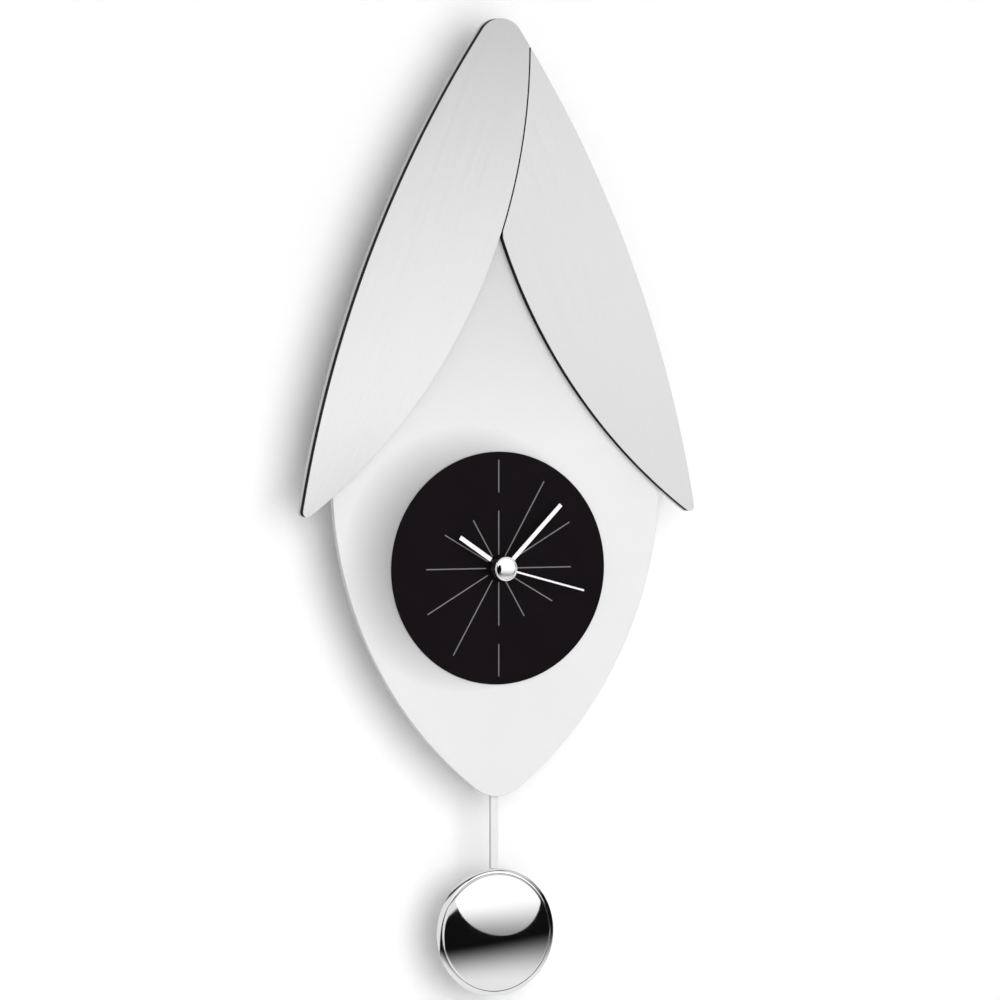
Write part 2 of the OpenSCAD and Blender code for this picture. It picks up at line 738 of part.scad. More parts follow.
// Pendulum
module pivot_pin() {
    color([0.7, 0.7, 0.72]) hung() {
        bar(pivot_r, drive_front - 1, arm_front + 1, [0, -pivot_drop]);
        bar(pivot_r + 0.7, arm_front + 0.3, arm_front + 1, [0, -pivot_drop]);
    }
}
magnet_pocket_r = 3.2;
module swing_arm() {
    color([0.88, 0.88, 0.85]) hung() difference() {
        union() {
            slab(arm_back, arm_front) translate([0, -peg_drop]) union() {
                translate([-arm_w / 2, 0]) square([arm_w, arm_l]);
                circle(r = arm_w / 2);
                translate([0, arm_l]) circle(r = arm_w / 2);
            }
            bar(peg_r, arm_front - over, rod_front + 0.7, [0, -peg_drop]);
            bar(peg_r + 0.6, rod_front + 0.1, rod_front + 0.7, [0, -peg_drop]);
        }
        bar(pivot_r + run_gap, arm_back - over, arm_front + over, [0, -pivot_drop]);
        bar(magnet_pocket_r, arm_back - over, arm_back + 1.6, [0, -drive_coil_drop + 1]);
    }
}
module arm_magnet() {
    color([0.65, 0.65, 0.66]) hung()
        bar(magnet_pocket_r - fit_gap, arm_back, arm_back + 1.6, [0, -drive_coil_drop + 1]);
}
module pendulum_rod() {
    color([0.95, 0.95, 0.94]) hung() difference() {
        slab(rod_back, rod_front) union() {
            translate([-rod_w / 2, -rod_end]) square([rod_w, rod_end - peg_drop]);
            translate([0, -peg_drop]) circle(r = rod_eye_r);
        }
        bar(peg_r + run_gap, rod_back - over, rod_front + over, [0, -peg_drop]);
    }
}
module bob_back() {
    color([0.7, 0.7, 0.72]) hung() difference() {
        bar(bob_r - 0.3, rod_front, bob_level, [0, -bob_drop], $fn = 120);
        for (s = [-1, 1]) {
            bar(screw_r - 0.4, rod_front - over, bob_level + over, [s * clamp_screw_x, -bob_drop]);
        }
    }
}
module bob_shell() {
    dome_base_r = bob_r - bob_rim_w;
    cap_h = bob_rise - bob_step;
    cap_r = (dome_base_r * dome_base_r + cap_h * cap_h) / (2 * cap_h);
    shoulder_level = bob_level + bob_sheet_t + bob_step;
    cap_centre = shoulder_level + cap_h - cap_r;
    color([0.85, 0.85, 0.87]) hung() translate([0, -bob_drop, 0]) difference() {
        union() {
            bar(bob_r, bob_level, bob_level + bob_sheet_t, $fn = 120);
            bar(dome_base_r, bob_level, shoulder_level, $fn = 120);
            intersection() {
                bar(dome_base_r, shoulder_level - 0.2, shoulder_level + cap_h + over, $fn = 120);
                translate([0, 0, cap_centre]) sphere(r = cap_r, $fn = 120);
            }
        }
        intersection() {
            bar(dome_base_r - bob_sheet_t, bob_level - over, shoulder_level + cap_h, $fn = 120);
            translate([0, 0, cap_centre]) sphere(r = cap_r - bob_sheet_t, $fn = 120);
        }
    }
}
module rod_clamp() {
    color([0.7, 0.7, 0.72]) hung() difference() {
        union() {
            slab(rod_back - clamp_t, rod_back) box_2d(0, -bob_drop - clamp_h / 2, -bob_drop + clamp_h / 2, clamp_w);
            for (s = [-1, 1]) {
                slab(rod_back - over, rod_front)
                    translate([s * (clamp_w / 2 + rod_w / 2 + 0.1) / 2 - (clamp_w / 2 - rod_w / 2 - 0.1) / 2,
                               -bob_drop - clamp_h / 2])
                        square([clamp_w / 2 - rod_w / 2 - 0.1, clamp_h]);
            }
        }
        for (s = [-1, 1]) {
            bar(screw_r - 0.4, rod_back - clamp_t - over, rod_front + over, [s * clamp_screw_x, -bob_drop]);
        }
    }
}
module clamp_screws() {
    color([0.6, 0.6, 0.62]) hung() for (s = [-1, 1]) {
        screw([s * clamp_screw_x, -bob_drop], rod_back - clamp_t, 2, 1, screw_r - 0.4 - fit_gap, bob_level);
    }
}

// Hanger and feet
module hanger_bracket() {
    half = bracket_w / 2;
    color([0.66, 0.66, 0.68]) hung() translate([0, hang_rise, 0]) difference() {
        union() {
            translate([-half, -bracket_h / 2, 0]) cube([bracket_w, bracket_h, bracket_t]);
            both_sides() {
                translate([half - bracket_t, -bracket_h / 2, 0]) cube([bracket_t, bracket_h, wall_gap]);
                translate([half - bracket_t, -bracket_h / 2, wall_gap - bracket_t])
                    cube([flange_w + bracket_t, bracket_h, bracket_t]);
            }
        }
        bar(hang_hole_r, -over, bracket_t + over);
        translate([-hang_slot_w / 2, 0, -over]) cube([hang_slot_w, hang_slot_l, bracket_t + 2 * over]);
        bar(hang_slot_w / 2, -over, bracket_t + over, [0, hang_slot_l]);
        both_sides() for (s = [-1, 1]) {
            bar(screw_r + hole_gap, wall_gap - bracket_t - over, wall_gap + over,
                [bracket_screw_x, s * bracket_screw_y]);
        }
    }
}
module bracket_screws() {
    color([0.6, 0.6, 0.62]) hung() both_sides() for (s = [-1, 1]) {
        screw([bracket_screw_x, hang_rise + s * bracket_screw_y], wall_gap - bracket_t,
              screw_head_r, screw_head_h, screw_r, screw_reach);
    }
}
module petal_screws() {
    color([0.6, 0.6, 0.62]) hung() both_sides() for (spot = petal_screw_spots) {
        screw(spot, wall_gap, screw_head_r, screw_head_h, screw_r, screw_reach);
    }
}
foot_recess = 3;
module wall_feet() {
    color([0.1, 0.1, 0.1]) hung() both_sides() difference() {
        bar(foot_r, pad_t, wall_gap, foot_spot);
        bar(screw_r + hole_gap, pad_t - over, wall_gap + over, foot_spot);
        bar(screw_head_r + hole_gap, pad_t - over, pad_t + foot_recess, foot_spot);
    }
}
module foot_pads() {
    color([0.2, 0.2, 0.2]) hung() both_sides() bar(foot_r, 0, pad_t, foot_spot);
}
module foot_screws() {
    color([0.6, 0.6, 0.62]) hung() both_sides() {
        screw(foot_spot, pad_t + foot_recess, screw_head_r, screw_head_h, screw_r, screw_reach);
    }
}

back_panel();
petal_core_left();
petal_core_right();
petal_skin_left();
petal_skin_right();
dial_plate();
hour_lines();
threaded_bushing();
seat_washer();
fixing_nut();
movement_case();
rear_cover();
cover_screws();
battery_cell();
plus_contact();
minus_contact();
circuit_board();
quartz_crystal();
timer_chip();
motor_coil();
motor_stator();
drive_coil();
rotor();
idler_wheel();
seconds_wheel();
third_wheel();
centre_wheel();
minute_arbor();
minute_wheel();
hour_wheel();
set_knob();
hour_collet();
hour_hand();
minute_hand();
second_hand();
hub_cap();
pivot_pin();
swing_arm();
arm_magnet();
pendulum_rod();
bob_shell();
bob_back();
rod_clamp();
clamp_screws();
hanger_bracket();
bracket_screws();
petal_screws();
wall_feet();
foot_pads();
foot_screws();
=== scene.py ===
"""Looks of a pendulum wall clock: an opal leaf under two brushed metal petals, a black dial and a chrome bob."""

import json
import math
from functools import reduce

import bmesh
import bpy
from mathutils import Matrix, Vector
from mathutils.geometry import tessellate_polygon


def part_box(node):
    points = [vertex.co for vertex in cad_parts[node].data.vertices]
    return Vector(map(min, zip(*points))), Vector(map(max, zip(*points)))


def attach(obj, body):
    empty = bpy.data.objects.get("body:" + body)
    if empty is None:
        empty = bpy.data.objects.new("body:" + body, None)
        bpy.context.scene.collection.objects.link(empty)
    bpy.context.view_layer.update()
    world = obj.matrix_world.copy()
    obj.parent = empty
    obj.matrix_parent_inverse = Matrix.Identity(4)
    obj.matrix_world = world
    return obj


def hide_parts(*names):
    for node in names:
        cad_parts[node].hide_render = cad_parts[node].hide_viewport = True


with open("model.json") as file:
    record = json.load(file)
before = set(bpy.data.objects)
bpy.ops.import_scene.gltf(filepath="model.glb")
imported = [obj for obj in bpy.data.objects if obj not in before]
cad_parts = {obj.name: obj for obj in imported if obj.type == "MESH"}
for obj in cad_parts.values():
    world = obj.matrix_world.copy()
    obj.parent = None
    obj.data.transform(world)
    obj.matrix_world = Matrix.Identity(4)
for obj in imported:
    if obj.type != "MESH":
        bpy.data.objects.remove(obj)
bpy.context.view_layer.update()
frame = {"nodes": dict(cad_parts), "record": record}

# Sizes in millimetres. Heights on the dial's plane are counted from its axis, and levels out from the wall.
HANG_RISE = 215


def hung(x, y, level):
    """Point of the model, in metres, from its place on the dial's plane and its level."""
    return Vector((x, -level, y - HANG_RISE)) / 1000


def levels(node):
    """Back and front level of a CAD node."""
    low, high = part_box(node)
    return -high.y * 1000, -low.y * 1000


def middle(node):
    """Height of a CAD node's middle."""
    low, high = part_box(node)
    return (low.z + high.z) * 500 + HANG_RISE


def half_width(node):
    low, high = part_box(node)
    return (high.x - low.x) * 500


PANEL_BACK, PANEL_FRONT = levels("back_panel")
CORE_FRONT, SKIN_FRONT = levels("petal_skin_left")
DIAL_FRONT = levels("dial_plate")[1]
HOUR_BACK, HOUR_FRONT = levels("hour_hand")
HUB_LEVEL, HUB_TOP = levels("hub_cap")
ROD_BACK, ROD_FRONT = levels("pendulum_rod")
BOB_LEVEL, BOB_TOP = levels("bob_shell")
CASE_BACK = levels("rear_cover")[0]
DIAL_R, HUB_R, BOB_R = half_width("dial_plate"), half_width("hub_cap"), half_width("bob_shell")
BOB_DROP = -middle("bob_shell")


# ---------------------------------------------------------------- materials


class Finish:
    """A material under construction: one Principled shader and the nodes that feed it."""

    def __init__(self, name, colour, roughness, metallic=0.0, **sockets):
        self.material = bpy.data.materials.new(name)
        self.material.use_nodes = True
        self.nodes = self.material.node_tree.nodes
        self.links = self.material.node_tree.links
        self.shader = self.nodes["Principled BSDF"]
        self.set("Base Color", (*colour, 1))
        self.set("Roughness", roughness)
        self.set("Metallic", metallic)
        for socket, value in sockets.items():
            self.set(socket.replace("_", " "), value)
        self.place = self.nodes.new("ShaderNodeTexCoord").outputs["Object"]
        self.bump = None

    def set(self, socket, value):
        self.shader.inputs[socket].default_value = value

    def turned_place(self, scale, turn=(0, 0, 0), centre=(0, 0, 0)):
        """Object coordinates about a centre, turned and then stretched."""
        shift = self.nodes.new("ShaderNodeVectorMath")
        shift.operation = "SUBTRACT"
        shift.inputs[1].default_value = centre
        self.links.new(self.place, shift.inputs[0])
        spin = self.nodes.new("ShaderNodeVectorRotate")
        spin.rotation_type = "EULER_XYZ"
        spin.inputs["Rotation"].default_value = turn
        self.links.new(shift.outputs[0], spin.inputs["Vector"])
        stretch = self.nodes.new("ShaderNodeVectorMath")
        stretch.operation = "MULTIPLY"
        stretch.inputs[1].default_value = scale
        self.links.new(spin.outputs[0], stretch.inputs[0])
        return stretch.outputs[0]

    def noise(self, scale, place=None, detail=3.0, rough=0.5):
        tex = self.nodes.new("ShaderNodeTexNoise")
        tex.inputs["Scale"].default_value = scale
        tex.inputs["Detail"].default_value = detail
        tex.inputs["Roughness"].default_value = rough
        self.links.new(place or self.place, tex.inputs["Vector"])
        return tex.outputs["Fac"]

    def blend(self, operation, one, two):
        """Math of two sockets, or of a socket and a number."""
        node = self.nodes.new("ShaderNodeMath")
        node.operation = operation
        self.links.new(one, node.inputs[0])
        if isinstance(two, (int, float)):
            node.inputs[1].default_value = two
        else:
            self.links.new(two, node.inputs[1])
        return node.outputs[0]

    def axes(self):
        split = self.nodes.new("ShaderNodeSeparateXYZ")
        self.links.new(self.place, split.inputs[0])
        return split.outputs["X"], split.outputs["Y"], split.outputs["Z"]

    def tone(self, factor):
        """Scales the colour that is linked so far by a socket; this is how painted shade is laid into a colour."""
        scaled = self.nodes.new("ShaderNodeVectorMath")
        scaled.operation = "SCALE"
        colour = self.shader.inputs["Base Color"]
        self.links.new(colour.links[0].from_socket, scaled.inputs[0])
        self.links.new(factor, scaled.inputs["Scale"])
        self.links.new(scaled.outputs[0], colour)

    def spread(self, value, low, high, start=0.3, end=0.7):
        span = self.nodes.new("ShaderNodeMapRange")
        for socket, number in zip(("From Min", "From Max", "To Min", "To Max"), (start, end, low, high)):
            span.inputs[socket].default_value = number
        self.links.new(value, span.inputs["Value"])
        return span.outputs[0]

    def tint(self, value, dark, light):
        """Colour from dark to light along a value."""
        ramp = self.nodes.new("ShaderNodeValToRGB")
        ramp.color_ramp.elements[0].position = 0.25
        ramp.color_ramp.elements[1].position = 0.75
        ramp.color_ramp.elements[0].color = (*dark, 1)
        ramp.color_ramp.elements[1].color = (*light, 1)
        self.links.new(value, ramp.inputs[0])
        self.links.new(ramp.outputs[0], self.shader.inputs["Base Color"])
        return ramp

    def wear(self, value, low, high):
        self.links.new(self.spread(value, low, high), self.shader.inputs["Roughness"])

    def relief(self, value, depth_mm, strength=1.0):
        bump = self.nodes.new("ShaderNodeBump")
        bump.inputs["Strength"].default_value = strength
        bump.inputs["Distance"].default_value = depth_mm / 1000
        self.links.new(value, bump.inputs["Height"])
        if self.bump:
            self.links.new(self.bump, bump.inputs["Normal"])
        self.bump = bump.outputs[0]
        self.links.new(self.bump, self.shader.inputs["Normal"])


def shade(colour, factor):
    return tuple(min(c * factor, 1.0) for c in colour)


# Painted shade drawn into the colours, with its places in metres
PETAL_PAINTED_SHADE_HEIGHTS = -0.12, 0.11
DIAL_SHADOW_CENTRE = (-0.022, 0, -0.209)
DIAL_SHADOW_REACH = 0.052, 0.083
PANEL_FACE = -0.0336, -0.0325
LEAF_PAINTED_SHADE_HEIGHTS = -0.135, -0.02


def brushed_sheet(name, lean_deg, colour, roughness, top_painted_shading):
    """Aluminium sheet with a long brushed grain that leans from upright by an angle, and painted shade up its length.
    """
    f = Finish(name, colour, roughness, 1.0)
    lean = math.radians(lean_deg)
    turn = (0, lean, 0)
    fine = f.noise(1.0, f.turned_place((2600, 1, 34), turn), 4, 0.6)
    broad = f.noise(1.0, f.turned_place((420, 1, 9), turn), 3, 0.55)
    mixed = f.blend("ADD", f.blend("MULTIPLY", fine, 0.55), f.blend("MULTIPLY", broad, 0.45))
    f.tint(mixed, shade(colour, 0.93), shade(colour, 1.05))
    # painted shade: a plain run of tone up the petal, darker at the top of the left one and slightly lighter at the top
    # of the right one; drawn in, not a finish that was measured
    f.tone(f.spread(f.axes()[2], 1.0, top_painted_shading, *PETAL_PAINTED_SHADE_HEIGHTS))
    f.wear(mixed, roughness - 0.06, roughness + 0.07)
    f.relief(mixed, 0.012, 0.5)
    f.set("Anisotropic", 0.55)
    along = f.nodes.new("ShaderNodeCombineXYZ")
    for socket, number in zip("XYZ", (-math.sin(lean), 0.0, math.cos(lean))):
        along.inputs[socket].default_value = number
    f.links.new(along.outputs[0], f.shader.inputs["Tangent"])
    return f.material


def opal_sheet(name, colour):
    """Opal acrylic: milky inside, with a silky face, a faint cloudiness, and painted shade round the dial and at its
    top.
    """
    f = Finish(name, colour, 0.36, IOR=1.49)
    cloud = f.noise(9.0, detail=2)
    f.tint(cloud, shade(colour, 0.985), shade(colour, 1.01))
    # painted shade, drawn in: a painted shadow of the dial round it, on the front face only, and painted shade at the
    # upper end between the petals
    right, out, up = f.axes()
    flat_place = f.nodes.new("ShaderNodeCombineXYZ")
    f.links.new(right, flat_place.inputs["X"])
    f.links.new(up, flat_place.inputs["Z"])
    reach = f.nodes.new("ShaderNodeVectorMath")
    reach.operation = "DISTANCE"
    reach.inputs[1].default_value = DIAL_SHADOW_CENTRE
    f.links.new(flat_place.outputs[0], reach.inputs[0])
    near_dial = f.spread(reach.outputs["Value"], 0.50, 1.0, *DIAL_SHADOW_REACH)
    behind_face = f.spread(out, 0.0, 1.0, *PANEL_FACE)
    painted_dial_shadow = f.blend("MAXIMUM", near_dial, behind_face)
    f.tone(f.blend("MULTIPLY", painted_dial_shadow, f.spread(up, 1.0, 0.80, *LEAF_PAINTED_SHADE_HEIGHTS)))
    f.wear(f.noise(60.0), 0.32, 0.42)
    f.relief(f.noise(2200.0, detail=2), 0.004, 0.4)
    f.set("Subsurface Weight", 0.25)
    f.set("Subsurface Radius", (0.004, 0.004, 0.0038))
    f.set("Subsurface Scale", 1.0)
    return f.material


def satin_paint(name, colour, roughness=0.4, grain_mm=0.5, **sockets):
    """Even paint with a trace of orange peel and rubbed patches."""
    f = Finish(name, colour, roughness, **sockets)
    f.tint(f.noise(28.0, detail=3), shade(colour, 0.94), shade(colour, 1.06))
    f.wear(f.noise(75.0), roughness - 0.05, roughness + 0.06)
    f.relief(f.noise(1000 / grain_mm, detail=2), 0.006, 0.5)
    return f.material


def moulded_plastic(name, colour, roughness=0.5, grain_mm=0.35):
    """Injection moulding with a spark-eroded grain."""
    f = Finish(name, colour, roughness)
    f.tint(f.noise(34.0, detail=4), shade(colour, 0.88), shade(colour, 1.12))
    f.wear(f.noise(120.0), roughness - 0.08, roughness + 0.08)
    f.relief(f.noise(1000 / grain_mm, detail=4, rough=0.6), 0.02, 0.6)
    return f.material


def sawn_core(name, colour):
    """Cut edge of a black core, with fine saw marks that run through its thickness."""
    f = Finish(name, colour, 0.7, Specular_IOR_Level=0.08)
    marks = f.noise(1.0, f.turned_place((900, 14, 900)), 3)
    f.tint(marks, shade(colour, 0.7), shade(colour, 1.4))
    f.wear(marks, 0.5, 0.72)
    f.relief(marks, 0.03, 0.6)
    return f.material


def worked_metal(name, colour, roughness, stretch=(500, 500, 60), depth_mm=0.008, tarnish=0.9):
    """Bare or plated metal with the fine marks of its making, longer along one axis."""
    f = Finish(name, colour, roughness, 1.0)
    marks = f.noise(1.0, f.turned_place(stretch), 4, 0.6)
    f.tint(f.noise(55.0, detail=4), shade(colour, tarnish), shade(colour, 1.04))
    f.wear(marks, roughness - 0.07, roughness + 0.09)
    f.relief(marks, depth_mm, 0.4)
    return f.material


def polished_chrome(name, colour):
    """Mirror chrome with a faint haze of wiping marks."""
    f = Finish(name, colour, 0.035, 1.0)
    f.wear(f.noise(70.0, detail=4), 0.025, 0.06)
    f.tint(f.noise(24.0), shade(colour, 0.985), shade(colour, 1.015))
    return f.material


def soft_rubber(name, colour):
    f = Finish(name, colour, 0.8)
    f.tint(f.noise(90.0, detail=5), shade(colour, 0.8), shade(colour, 1.25))
    f.wear(f.noise(240.0), 0.7, 0.88)
    f.relief(f.noise(1400.0, detail=3), 0.03, 0.6)
    return f.material


def wound_wire(name, colour, across):
    """Layer of enamelled wire, its turns side by side along one axis."""
    f = Finish(name, colour, 0.3, 0.85)
    turns = f.nodes.new("ShaderNodeTexWave")
    turns.bands_direction = across
    turns.inputs["Scale"].default_value = 1000.0
    turns.inputs["Distortion"].default_value = 0.4
    f.links.new(f.place, turns.inputs["Vector"])
    f.tint(turns.outputs["Fac"], shade(colour, 0.55), shade(colour, 1.1))
    f.relief(turns.outputs["Fac"], 0.06, 0.7)
    return f.material


def banded_sleeve(name, body, band, split_x):
    """Shrink sleeve of a battery cell in two plain colours, with a soft wrinkle."""
    f = Finish(name, body, 0.32, 0.35, Coat_Weight=0.5, Coat_Roughness=0.12)
    change = f.spread(f.axes()[0], 0.0, 1.0, split_x - 0.0001, split_x + 0.0001)
    ramp = f.tint(change, body, band)
    ramp.color_ramp.elements[0].position = 0.4
    ramp.color_ramp.elements[1].position = 0.6
    f.wear(f.noise(160.0), 0.26, 0.4)
    f.relief(f.noise(1.0, f.turned_place((60, 900, 900)), 3), 0.02, 0.5)
    return f.material


OPAL = opal_sheet("opal_acrylic", (0.80, 0.80, 0.80))
CORE = sawn_core("black_core", (0.005, 0.004, 0.004))
# both petals are one aluminium: the left is painted lighter and the right darker, painted light and shade for how each
# grain catches the light
PETAL_LEFT_PAINTED_LIGHTER = brushed_sheet("brushed_aluminium_left_painted_lighter", -22, (0.91, 0.91, 0.91), 0.36, 0.75)
PETAL_RIGHT_PAINTED_DARKER = brushed_sheet("brushed_aluminium_right_painted_darker", 24, (0.755, 0.755, 0.755), 0.36, 1.02)
DIAL = satin_paint("dial_black", (0.0072, 0.0055, 0.0068), 0.5, 0.3, Specular_IOR_Level=0.02)
LINES = satin_paint("line_silver", (0.17, 0.17, 0.17), 0.5, 0.2)
BRASS = worked_metal("brass", (0.78, 0.58, 0.27), 0.28)
RUBBER = soft_rubber("rubber", (0.02, 0.02, 0.02))
OXIDE = satin_paint("black_oxide", (0.012, 0.012, 0.012), 0.45, 0.2)
CASE = moulded_plastic("case_plastic", (0.02, 0.02, 0.022))
KNOB = moulded_plastic("knob_plastic", (0.05, 0.05, 0.055), 0.42, 0.25)
ZINC = worked_metal("zinc_steel", (0.6, 0.61, 0.63), 0.34, (220, 220, 220), 0.01)
SLEEVE = banded_sleeve("cell_wrap", (0.03, 0.055, 0.16), (0.62, 0.36, 0.14), 0.0085)
NICKEL = worked_metal("nickel_strip", (0.72, 0.70, 0.64), 0.25, (500, 60, 500))
BOARD = satin_paint("board_green", (0.02, 0.14, 0.055), 0.3, 0.4)
CHIP = moulded_plastic("chip_black", (0.01, 0.01, 0.01), 0.45, 0.15)
WIRE = wound_wire("copper_wire", (0.62, 0.25, 0.11), "X")
NYLON = moulded_plastic("white_nylon", (0.76, 0.76, 0.71), 0.45, 0.3)
HAND_WHITE = satin_paint("hand_white", (0.93, 0.93, 0.93), 0.38, 0.2)
HAND_BLACK = satin_paint("hand_black", (0.01, 0.01, 0.01), 0.42, 0.2)
CHROME = polished_chrome("chrome", (0.93, 0.93, 0.94))
STEEL = worked_metal("bright_steel", (0.66, 0.66, 0.68), 0.26)
ROD = satin_paint("rod_white", (0.79, 0.79, 0.79), 0.34, 0.3)
MAGNET = worked_metal("magnet_grey", (0.42, 0.42, 0.44), 0.3)

# ---------------------------------------------------------------- shapes


def piece(name, mesh, body, slot, material, *nodes):
    """Puts a finished mesh into the scene, riding on its body in place of its CAD nodes."""
    mesh.materials.clear()
    mesh.materials.append(material)
    mesh.shade_smooth()
    mesh.set_sharp_from_angle(angle=math.radians(32))
    obj = bpy.data.objects.new(name, mesh)
    bpy.context.scene.collection.objects.link(obj)
    if material is not CHROME:
        # broad faces keep their own direction, and the roundings beside them take the turn
        even = obj.modifiers.new("even", "WEIGHTED_NORMAL")
        even.keep_sharp = True
        bpy.context.view_layer.update()
        obj.data = bpy.data.meshes.new_from_object(obj.evaluated_get(bpy.context.evaluated_depsgraph_get()))
        obj.modifiers.remove(even)
    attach(obj, body)
    if nodes:
        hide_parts(*nodes)
    return obj


def wrap(angle):
    return angle - 2 * math.pi * math.floor(angle / (2 * math.pi))


def polar(r, angle):
    return Vector((r * math.cos(angle), r * math.sin(angle)))


def arc(centre, r, start, end, steps):
    """Clockwise arc, without its last point."""
    turn = wrap(start - end)
    return [centre + polar(r, start - turn * i / steps) for i in range(steps)]


def bearing(a, b):
    return math.atan2(b[1] - a[1], b[0] - a[0])


def meet(a, ra, b, rb):
    """Meeting point of two circles, on the left going from the first centre to the second."""
    d = (b - a).length
    along = (ra * ra - rb * rb + d * d) / (2 * d)
    u = (b - a) / d
    return a + along * u + math.sqrt(ra * ra - along * along) * Vector((-u[1], u[0]))


def flip(p):
    return Vector((-p[0], p[1]))


def circle(x, y, r, steps=48):
    return [Vector((x, y)) + polar(r, 2 * math.pi * i / steps) for i in range(steps)]


OUTER_R, INNER_R, LEAF_R = 754, 356, 244
OUTER_X, OUTER_Y = 610.5, -92.5
APEX_R, PETAL_TIP_R, LEAF_TIP_R = 15, 3, 24
PETAL_GAP = 0.8
outer_c = Vector((OUTER_X, OUTER_Y))
inner_c = Vector((-337, 322))
leaf_c = Vector((133, 58))
apex_c = Vector((0, OUTER_Y + math.sqrt((OUTER_R - APEX_R) ** 2 - OUTER_X**2)))
petal_tip_c = meet(outer_c, OUTER_R - PETAL_TIP_R, inner_c, INNER_R - PETAL_TIP_R)
leaf_tip_c = Vector((0, 58 - math.sqrt((LEAF_R - LEAF_TIP_R) ** 2 - 133**2)))
apex_turn = bearing(outer_c, apex_c)
shoulder = meet(inner_c, INNER_R, flip(outer_c), OUTER_R)
notch = meet(leaf_c, LEAF_R, inner_c, INNER_R)
outer_edge = arc(outer_c, OUTER_R, bearing(outer_c, petal_tip_c), apex_turn, 110)
tip_round = arc(petal_tip_c, PETAL_TIP_R, bearing(inner_c, petal_tip_c), bearing(outer_c, petal_tip_c), 14)


def petal_outline(inner_r):
    """Outline of the left petal, clockwise, with its inner edge at a radius."""
    top = meet(inner_c, inner_r, flip(outer_c), OUTER_R)
    return (
        outer_edge
        + arc(apex_c, APEX_R, apex_turn, math.pi - apex_turn, 30)
        + arc(flip(outer_c), OUTER_R, math.pi - apex_turn, bearing(flip(outer_c), top), 6)
        + arc(inner_c, inner_r, bearing(inner_c, top), bearing(inner_c, petal_tip_c), 110)
        + tip_round
    )


def right_petal_outline():
    """The left petal mirrored, cut back along the left petal's inner edge by the joint's width."""
    cut_r = INNER_R + PETAL_GAP
    top = meet(inner_c, cut_r, flip(outer_c), OUTER_R)
    low = meet(flip(inner_c), INNER_R, inner_c, cut_r)
    if low[1] < 0:
        low = meet(inner_c, cut_r, flip(inner_c), INNER_R)
    mirrored_tip = flip(petal_tip_c)
    tip = [flip(p) for p in reversed(tip_round)]
    return (
        arc(flip(outer_c), OUTER_R, bearing(flip(outer_c), top), bearing(flip(outer_c), mirrored_tip), 100)
        + tip
        + arc(flip(inner_c), INNER_R, bearing(flip(inner_c), mirrored_tip), bearing(flip(inner_c), low), 90)
        + list(reversed(arc(inner_c, cut_r, bearing(inner_c, top), bearing(inner_c, low), 60)))
    )


def panel_outline():
    half = (
        arc(leaf_tip_c, LEAF_TIP_R, 1.5 * math.pi, bearing(leaf_c, leaf_tip_c), 16)
        + arc(leaf_c, LEAF_R, bearing(leaf_c, leaf_tip_c), bearing(leaf_c, notch), 90)
        + arc(inner_c, INNER_R, bearing(inner_c, notch), bearing(inner_c, petal_tip_c), 10)
        + tip_round
        + outer_edge
        + arc(apex_c, APEX_R, apex_turn, math.pi / 2, 16)
    )
    return half + [apex_c + Vector((0, APEX_R))] + [flip(p) for p in reversed(half[1:])]


def inset(outline, distance):
    """The outline moved inwards, corner by corner."""
    area = sum(a.x * b.y - b.x * a.y for a, b in zip(outline, outline[1:] + outline[:1]))
    side = 1 if area > 0 else -1
    moved = []
    for i, p in enumerate(outline):
        back = (p - outline[i - 1]).normalized()
        ahead = (outline[(i + 1) % len(outline)] - p).normalized()
        n1 = Vector((-back.y, back.x)) * side
        n2 = Vector((-ahead.y, ahead.x)) * side
        n = n1 + n2
        moved.append(p + n * (distance * 2 / max(n.length_squared, 1.2)))
    return moved


def plate(outline, back, front, edge, holes=(), back_edge=None):
    """Flat plate between two levels, its outer edges rounded and its holes cut right through."""
    back_edge = edge if back_edge is None else back_edge
    turns = [i * math.pi / 8 for i in range(5)]
    rings = [(back_edge * (1 - math.sin(t)), back + back_edge * (1 - math.cos(t))) for t in turns]
    rings += [(edge * (1 - math.cos(t)), front - edge + edge * math.sin(t)) for t in turns]
    bm = bmesh.new()
    made = [[bm.verts.new(hung(p.x, p.y, level)) for p in inset(outline, gap)] for gap, level in rings]
    count = len(outline)
    for one, two in zip(made, made[1:]):
        for i in range(count):
            j = (i + 1) % count
            bm.faces.new((one[i], one[j], two[j], two[i]))
    walls = []
    for hole in holes:
        one, two = ([bm.verts.new(hung(p.x, p.y, level)) for p in hole] for level in (back, front))
        walls.append((one, two))
        for i in range(len(hole)):
            j = (i + 1) % len(hole)
            bm.faces.new((one[i], one[j], two[j], two[i]))
    for end, loop in ((0, made[0]), (1, made[-1])):
        loops = [loop] + [w[end] for w in walls]
        flat = [[Vector((v.co.x, v.co.z, 0)) for v in l] for l in loops]
        verts = [v for l in loops for v in l]
        for a, b, c in tessellate_polygon(flat):
            if len({a, b, c}) == 3:
                bm.faces.new((verts[a], verts[b], verts[c]))
    bmesh.ops.remove_doubles(bm, verts=bm.verts, dist=1e-7)
    bmesh.ops.recalc_face_normals(bm, faces=bm.faces)
    return finished(bm)


def finished(bm):
    mesh = bpy.data.meshes.new("shape")
    bm.to_mesh(mesh)
    bm.free()
    return mesh


